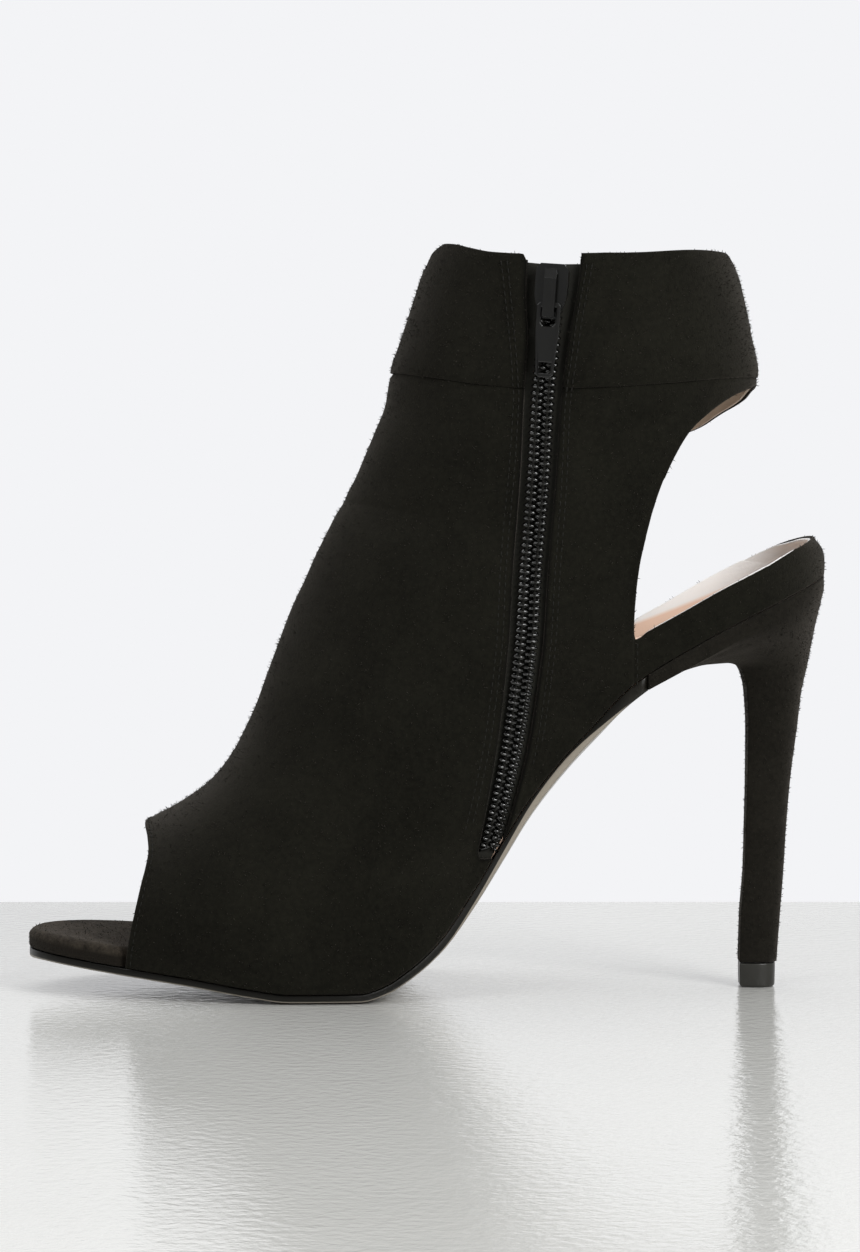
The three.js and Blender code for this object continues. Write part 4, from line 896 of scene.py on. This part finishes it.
def soleHalf(x):  # the outline less an inset that grows behind the toe
    inset = soleCut["toeInset"] + (soleCut["inset"] - soleCut["toeInset"]) * ramp(x, along(0.02), along(0.14))
    return np.maximum(outlineHalf(x) - inset, 0)


def soleLow(x, w):  # domed by crown * (1 - w^2), fuller towards the heel, lifted at its rims
    crown = soleCut["crown"] * ramp(x, along(0.43), along(0.6)) * np.clip((heelFront - x) / 14, 0, 1)
    full = soleCut["full"] * ramp(x, along(0.69), along(0.765))
    lift = soleCut["lift"] * (1 - ramp(x, along(0.71), along(0.765)))
    return ground(x) - full - crown * (1 - w**2) + lift * np.maximum(0, (np.abs(w) - 0.75) / 0.25)


def underStrip(x):  # height of the bare strip, widest along the waist
    return 0.3 + 2.3 * ramp(x, along(0.5), along(0.65)) * ramp(-x, -along(0.76), -along(0.66))


outsole = board(
    "outsole_unit", rounded(-half + soleCut["toeInset"], heelFront - 0.03, 120), soleHalf, soleLow,
    lambda x, w: layer(x, boot["soleThickness"]) + 0 * w, 0.6, 0.25, 56, underStrip,
)
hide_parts("outsole")
finish(outsole, soleLacquer)
print("sole", len(outsole.data.polygons), "faces")

# Heel and tip

# Heel sections from the seat down: front place and height, back place and height,
# weights of the seat and shaft widths, front corner, where it is widest
heelRows = [
    (0.7736, 0.7535, 0.9998, 1.0, 0.985, 0, 0.95, 0.4),
    (0.81, 0.793, 0.9962, 0.965, 0.92, 0, 0.9, 0.42),
    (0.848, 0.812, 0.991, 0.921, 0.79, 0, 0.86, 0.44),
    (0.874, 0.8135, 0.985, 0.864, 0.61, 0, 0.82, 0.46),
    (0.892, 0.799, 0.979, 0.799, 0.44, 0, 0.8, 0.48),
    (0.901, 0.745, 0.972, 0.737, 0.26, 0.5, 0.8, 0.5),
    (0.9035, 0.65, 0.967, 0.65, 0.1, 1.0, 0.8, 0.5),
    (0.903, 0.536, 0.9595, 0.536, 0.04, 1.06, 0.8, 0.5),
    (0.9015, 0.413, 0.954, 0.413, 0, 1.1, 0.8, 0.5),
    (0.9, 0.297, 0.9505, 0.297, 0, 1.04, 0.8, 0.5),
    (0.8955, 0.177, 0.946, 0.177, 0, 1.0, 0.8, 0.5),
]
heelCut = {"shaftWidth": 9.6, "tipHeight": 6.2, "tipWidth": 8.8, "steps": 26, "front": 9, "rows": 110}


# A heel outline in the unit square: flat front with round corners, widest at a share of its depth
def heelLoop(halfWidth, corner, wide):
    a = np.sin(np.pi / 2 * np.linspace(0, 1, heelCut["steps"])) ** 1.3
    early = corner + (1 - corner) * (1 - (1 - a / wide) ** 2)
    late = np.sqrt(np.maximum(0, 1 - np.maximum(0, (a - wide) / (1 - wide)) ** 2.2))
    width = np.where(a < wide, early, late)
    across = np.linspace(1, -1, heelCut["front"])[1:-1]
    depth = np.concatenate([a, a[::-1][1:], np.zeros(len(across))])
    y = np.concatenate([-width, width[::-1][1:], across * corner]) * halfWidth
    return depth, y


def loftLoops():  # the seat's loop, the table's loops, and the one over the tip
    x0, x1 = heelFront, float(along(1)) - 0.08
    depth, unitY = heelLoop(1, 1, 0.5)
    x = x0 + (x1 - x0) * depth
    full = np.maximum(0, outlineHalf(x + np.where(depth > 0.5, 0.08, 0)) - 0.1)
    flank = np.where(depth == 0, np.clip(unitY, -1, 1), np.sign(np.round(unitY, 6)))
    loops = [np.stack([x, flank * full, layer(x, boot["soleThickness"])], -1)]
    for front, frontUp, back, backUp, seat, shaft, corner, wide in heelRows:
        depth, y = heelLoop((seat * boot["seatWidth"] + shaft * heelCut["shaftWidth"]) / 2, corner, wide)
        x = along(front) + (along(back) - along(front)) * depth
        z = (frontUp + (backUp - frontUp) * depth) * boot["heelHeight"]
        loops.append(np.stack([x, y, z], -1))
    depth, y = heelLoop(heelCut["shaftWidth"] / 2, 0.8, 0.5)
    x = along(0.894) + (along(0.942) - along(0.894)) * depth
    loops.append(np.stack([x, y, np.full(x.shape, heelCut["tipHeight"] + 0.3)], -1))
    return np.array(loops)


# Smooth skin through loops: each of their points runs down its own smooth line
def loft(name, loops, rows):
    way = np.linalg.norm(np.diff(loops, axis=0), axis=2).mean(1)
    at = np.concatenate([[0], np.cumsum(way)])
    want = np.linspace(0, at[-1], rows)
    sides = loops.shape[1]
    i = np.clip(np.searchsorted(at, want) - 1, 0, len(at) - 2)
    rate = np.diff(loops, axis=0) / np.diff(at)[:, None, None]
    same = rate[:-1] * rate[1:] > 0
    before, after = np.where(same, rate[:-1], 1), np.where(same, rate[1:], 1)
    slope = np.concatenate([rate[:1], np.where(same, 2 / (1 / before + 1 / after), 0), rate[-1:]])
    step = (at[i + 1] - at[i])[:, None, None]
    t = ((want - at[i]) / (at[i + 1] - at[i]))[:, None, None]
    u = 1 - t
    body = (1 + 2 * t) * u * u * loops[i] + t * u * u * step * slope[i]
    body = body + t * t * (3 - 2 * t) * loops[i + 1] - t * t * u * step * slope[i + 1]
    rings = [body]
    for end, inward in ((body[0], -1), (body[-1], 1)):  # rim and a cap that shrinks to the middle
        middle = end.mean(0)
        caps = np.array([middle + (end - middle) * s for s in (0.985, 0.7, 0.35, 0.0)])
        rings = [caps[::-1], *rings] if inward < 0 else [*rings, caps]
    points = np.concatenate(rings)
    n = len(points)
    points, faces, _ = welded(points.reshape(-1, 3), gridFaces(n, sides, ring=True))
    return makeObject(name, points, faces)


heel = loft("heel_cover", loftLoops(), heelCut["rows"])
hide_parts("heel")
finish(heel, heelSuede)


def tipLoop(front, back, width, z):  # one level loop of the tip
    depth, y = heelLoop(width / 2, 0.8, 0.5)
    x = along(front) + (along(back) - along(front)) * depth
    return np.stack([x, y, np.full(x.shape, float(z))], -1)


tipTop, tipWidth = heelCut["tipHeight"], heelCut["tipWidth"]
tip = loft("heel_tip_cap", np.array([
    tipLoop(0.8955, 0.939, tipWidth - 0.4, tipTop),
    tipLoop(0.8945, 0.94, tipWidth, tipTop - 0.25),
    tipLoop(0.8946, 0.9399, tipWidth, 3.2),
    tipLoop(0.895, 0.9395, tipWidth, 0.6),
    tipLoop(0.8975, 0.937, tipWidth - 1, 0),
]), 26)
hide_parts("heel_tip")
finish(tip, tipPlastic)
print("heel", len(heel.data.polygons), "faces")

# Zip

zipCut = {
    "tapeBottom": 0.182, "chainBottom": 0.196, "top": 0.967, "tapeWidth": 15.0, "pitch": 1.62,
    "wire": 0.4, "inner": 0.1, "outer": 2.72, "depth": 0.5, "chainAt": -0.98,
}


def chainTurn(z):  # the chain looks narrower where the leather turns under the foot
    return 0.76 + 0.24 * ramp(z, 34, 78)


def zipFrameAt(z, aside):  # point of the skin beside the zip's line, and the directions there
    z = np.asarray(z, float)
    lean = (zipX(z + 1) - zipX(z - 1)) / 2
    reach = aside / np.hypot(1, lean)
    x, height = zipX(z) + reach, z - reach * lean
    return sidePoint(x, height, -1), sideNormal(x, height, -1)


# Tape: a woven strip behind the slot, its width growing upwards, ribbed along its edges
def makeTape():  # rows up the zip, points across it, the width easing in at the bottom
    z = np.linspace(zipCut["tapeBottom"], zipCut["top"] + 0.004, 150) * collarHeight
    w = np.linspace(-1, 1, 25)
    widths = np.minimum(zipCut["tapeWidth"] / 2, 5.2 + (z - z[0]) * 0.06) * roundOff(z - z[0] + 1.2, 5)
    zz, ww = np.meshgrid(z, w, indexing="ij")
    zz = zz - 0.5 * (1 - np.abs(ww)) * ramp(zz, 0.93 * collarHeight, 0.97 * collarHeight)
    aside = ww * widths[:, None]
    for _ in range(24):  # drawn in until it stands clear of the sole
        point, normal = zipFrameAt(zz, aside)
        aside = np.where((aside > 0) & (point[..., 2] < feather(point[..., 0]) + 0.15), aside * 0.9, aside)
    ribs = 0.12 * np.cos(np.linspace(-1, 1, 25) * 37)[:, None]
    over = point - normal * (1.98 + ribs)
    under = point - normal * 2.6
    points = np.concatenate([over.reshape(-1, 3), under.reshape(-1, 3)])
    return makeObject("tape", points, slabFaces(*zz.shape).tolist())


tape = makeTape()
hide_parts("zip_tape")
finish(tape, tapeCloth)


# Coil: one round thread per side wound as a flat helix whose upper legs lie level, its inner bends meshing
# with the other side's: z = pitch * (a - cos a) / 2 pi
def makeCoil(side):
    low, high = zipCut["chainBottom"] * collarHeight, (zipCut["top"] - 0.01) * collarHeight
    turns = (high - low) / zipCut["pitch"]
    turn = np.linspace(0, turns * 2 * np.pi, int(turns * 14))
    z = low + zipCut["pitch"] * (turn - np.cos(turn)) / (2 * np.pi) + (0 if side < 0 else zipCut["pitch"] / 2)
    middle, swing = (zipCut["outer"] + zipCut["inner"]) / 2, (zipCut["outer"] - zipCut["inner"]) / 2
    reach = side * (middle + swing * np.cos(turn))
    height = zipCut["chainAt"] - zipCut["depth"] * np.sin(turn)
    point, normal = zipFrameAt(z, reach * chainTurn(z))
    path = point + normal * height[:, None]
    line = unit(np.gradient(path, axis=0))
    first = unit(np.cross(line, np.array([0.2, 0.1, 1.0])))
    second = np.cross(line, first)
    around = np.arange(6) / 6 * 2 * np.pi
    ring = first[:, None] * np.cos(around)[:, None] + second[:, None] * np.sin(around)[:, None]
    points = (path[:, None] + ring * zipCut["wire"]).reshape(-1, 3)
    return makeObject("coil", points, gridFaces(len(path), 6, ring=True).tolist())


coil = join("coil_chain", [makeCoil(-1), makeCoil(1)])
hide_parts("zip_chain")
finish(coil, coilNylon)

# Sewing threads that hold each coil to the tape: a chain of stitches lying over the coil's legs
threadRows = []
for offset in (-1.38, 1.38):
    zz = np.arange(zipCut["chainBottom"] * collarHeight + 1, (zipCut["top"] - 0.02) * collarHeight, 0.8)
    point, normal = zipFrameAt(zz, offset * chainTurn(zz))
    raised = point + normal * (zipCut["chainAt"] + zipCut["depth"] + 0.1)
    threadRows.append(stitchRow("coil_thread", raised, normal, 0.81, 0.95, 0.33, 0.2))
finish(join("coil_threads", threadRows), coilThreadCloth)

# Slider and pull keep their measured form, with rounded edges
for name, slotName, width in (("zip_slider", "zip_metal", 0.28), ("pull_tab", "pull_metal", 0.26)):
    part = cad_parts[name]
    part.data.materials.clear()
    part.data.materials.append(blackMetal)
    weld = part.modifiers.new("weld", "WELD")
    weld.merge_threshold = 0.000002
    bevel = part.modifiers.new("edges", "BEVEL")
    bevel.width = width * 0.001
    bevel.segments = 3
    bevel.limit_method = "ANGLE"
    bevel.angle_limit = math.radians(25)
    bevel.harden_normals = True

# Stitching

# Rows beside the zip: how far aside they run at four heights, and the lowest height
rowHeights = np.array([0.22, 0.6, 0.78, 0.87, 0.98]) * collarHeight
zipStitches = [
    ((-5.9, -6.0, -5.7, -8.0, -11.4), 0.226),
    ((-7.3, -7.4, -7.0, -9.3, -12.9), 0.214),
    ((5.4, 6.1, 5.7, 6.3, 8.3), 0.315),
    ((6.5, 7.3, 6.9, 7.5, 9.6), 0.345),
]
rows = []
for aside, low in zipStitches:
    zz = np.linspace(low, 0.972, 260) * collarHeight
    point, normal = zipFrameAt(zz, smoothLine(rowHeights, aside)(zz))
    raised = np.where(zz > seamLine(point[:, 0]), 0.72, 0.0)
    rows.append(stitchRow("row", point + normal * raised[:, None], normal, 1.9, 1.3, 0.16, 0.13))

# Row round the toe opening, found by halving the range of stations at each place across
across = np.linspace(-0.985, 0.985, 400)
low, high = np.full(across.shape, -3.0), np.full(across.shape, 32.0)
for _ in range(30):
    middle = (low + high) / 2
    inside = toeEdge(skin(middle, across)) > 1.3
    low, high = np.where(inside, low, middle), np.where(inside, middle, high)
rows.append(stitchRow("row", skin(low, across), skinNormal(low, across), 1.9, 1.3, 0.16, 0.12))

# Row down the upright seam
zz = np.linspace(0.402, 0.474, 60) * collarHeight
seamX = np.full(zz.shape, quarterSeam + 0.75)
rows.append(stitchRow("row", sidePoint(seamX, zz, -1), sideNormal(seamX, zz, -1), 1.9, 1.3, 0.15, 0.12))
stitching = finish(join("stitching", rows), threadBlack)
print("stitching", len(stitching.data.polygons), "faces")

# Nap

# Nap: short pointed fibres standing off the suede at random places, leaning a little at random
def napOn(piece, name, count, seed, long, keep):
    rng = np.random.default_rng(seed)
    mesh = piece.data
    mesh.calc_loop_triangles()
    spots = np.zeros(len(mesh.vertices) * 3, np.float32)
    mesh.vertices.foreach_get("co", spots)
    tris = np.zeros(len(mesh.loop_triangles) * 3, np.int32)
    mesh.loop_triangles.foreach_get("vertices", tris)
    corners = spots.reshape(-1, 3)[tris.reshape(-1, 3)].astype(float) * 1000
    cross = np.cross(corners[:, 1] - corners[:, 0], corners[:, 2] - corners[:, 0])
    area = np.linalg.norm(cross, axis=1)
    area = np.where(keep(corners.mean(1), unit(cross)), area, 0)
    chosen = rng.choice(len(area), count, p=area / area.sum())
    u, v = rng.random((2, count))
    u, v = np.where(u + v > 1, 1 - u, u), np.where(u + v > 1, 1 - v, v)
    a, b, c = np.moveaxis(corners[chosen], 1, 0)
    root = a + (b - a) * u[:, None] + (c - a) * v[:, None]
    lean = unit(unit(cross[chosen]) + 0.55 * rng.normal(size=(count, 3)))
    side = unit(np.cross(lean, rng.normal(size=(count, 3))))
    other = np.cross(lean, side)
    tall = long * (0.35 + rng.random(count) ** 2)[:, None]
    wide = 0.105
    foot = [root + wide * (side * math.cos(t) + other * math.sin(t)) - 0.05 * lean for t in (0, 2.1, 4.2)]
    bend = [root + lean * tall * 0.6 + 0.6 * (f - root) + side * tall * 0.12 for f in foot]
    top = root + lean * tall + side * tall * 0.35
    points = np.stack([*foot, *bend, top], 1).reshape(-1, 3)
    one = np.array([[0, 1, 4, 3], [1, 2, 5, 4], [2, 0, 3, 5]])
    tips = np.array([[3, 4, 6], [4, 5, 6], [5, 3, 6], [2, 1, 0]])
    base = (np.arange(count) * 7)[:, None, None]
    faces = (one[None] + base).reshape(-1, 4).tolist() + (tips[None] + base).reshape(-1, 3).tolist()
    return makeObject(name, points, faces)


def outward(corner, normal):  # the outer faces of the shoe, away from its middle
    middle = np.stack([corner[:, 0] * 0, corner[:, 1], corner[:, 2] * 0], 1)
    return (normal * np.sign(middle)).sum(1) + np.abs(normal[:, 0]) * 0.6 + normal[:, 2] * 0.4 > 0.35


# Piece, number of fibres, seed, length
napRows = [(upper, 15000, 4, 0.78), (cuff, 5000, 5, 0.78), (heel, 5000, 6, 0.55), (toeBoard, 1800, 7, 0.5)]
for piece, count, seed, long in napRows:
    nap = napOn(piece, piece.name + "_nap", count, seed, long, outward)
    finish(nap, blackSuede)
    print("nap on", piece.name, len(nap.data.polygons), "faces")

# Table, wall, light and camera

def flatPlane(name, corners, material):  # one flat face of the studio
    made = makeObject(name, np.array(corners, float), [[0, 1, 2, 3]], smooth=False)
    made.data.materials.append(material)
    return made


tableTop = plain("table top", (0.67, 0.67, 0.645), 0.09, 330, 0.0004, vary=0.01, specular=0.31)
flatPlane("table", [(-900, -1500, 0), (900, -1500, 0), (900, 201, 0), (-900, 201, 0)], tableTop)
wallPaper, wallShader, _, _ = shaderTree("wall")
wallShader.inputs["Base Color"].default_value = (0.02, 0.02, 0.02, 1)
wallShader.inputs["Roughness"].default_value = 1.0
wallShader.inputs["Specular IOR Level"].default_value = 0.0
wallShader.inputs["Emission Color"].default_value = (0.89, 0.895, 0.915, 1)
wallShader.inputs["Emission Strength"].default_value = 1.0
wallCorners = [(-4400, 2500, -2400), (4400, 2500, -2400), (4400, 2500, 4100), (-4400, 2500, 4100)]
flatPlane("wall", wallCorners, wallPaper)

world = bpy.data.worlds.new("studio")
bpy.context.scene.world = world
world.use_nodes = True
world.node_tree.nodes["Background"].inputs["Color"].default_value = (1, 1, 1, 1)
world.node_tree.nodes["Background"].inputs["Strength"].default_value = 0.24


def softBox(name, place, target, size, power):  # an area light turned towards its target
    light = bpy.data.lights.new(name, "AREA")
    light.shape = "RECTANGLE"
    light.size, light.size_y = size
    light.energy = power
    lamp = bpy.data.objects.new(name, light)
    lamp.location = place
    ahead = np.array(target, float) - np.array(place, float)
    pitch = math.atan2(math.hypot(ahead[0], ahead[1]), -ahead[2])
    lamp.rotation_euler = (pitch, 0, math.atan2(-ahead[0], ahead[1]))
    bpy.context.scene.collection.objects.link(lamp)


softBox("left box", (-0.9, -0.9, 0.9), (0, 0, 0.08), (0.4, 0.5), 3)
softBox("right box", (0.8, -1.0, 0.75), (0, 0, 0.08), (0.6, 0.6), 15)
softBox("upper glint", (-0.42, -0.9, 1.0), (0, 0, 0.14), (0.1, 0.14), 0.7)
softBox("side glint", (0.45, -1.15, 0.35), (0, 0, 0.14), (0.08, 0.12), 0.7)
softBox("top box", (0.0, 0.1, 1.4), (0, 0, 0.1), (1.2, 0.9), 6.8)

camera = bpy.data.cameras.new("camera")
camera.lens = 122.7
camera.sensor_width = 36
camera.clip_start, camera.clip_end = 0.05, 20
eye = bpy.data.objects.new("camera", camera)
eye.location = (0.0008, -1.080, 0.136)
eye.rotation_euler = (math.radians(90 - 2.36), 0, 0)
bpy.context.scene.collection.objects.link(eye)
bpy.context.scene.camera = eye
bpy.context.scene.view_settings.view_transform = "Standard"
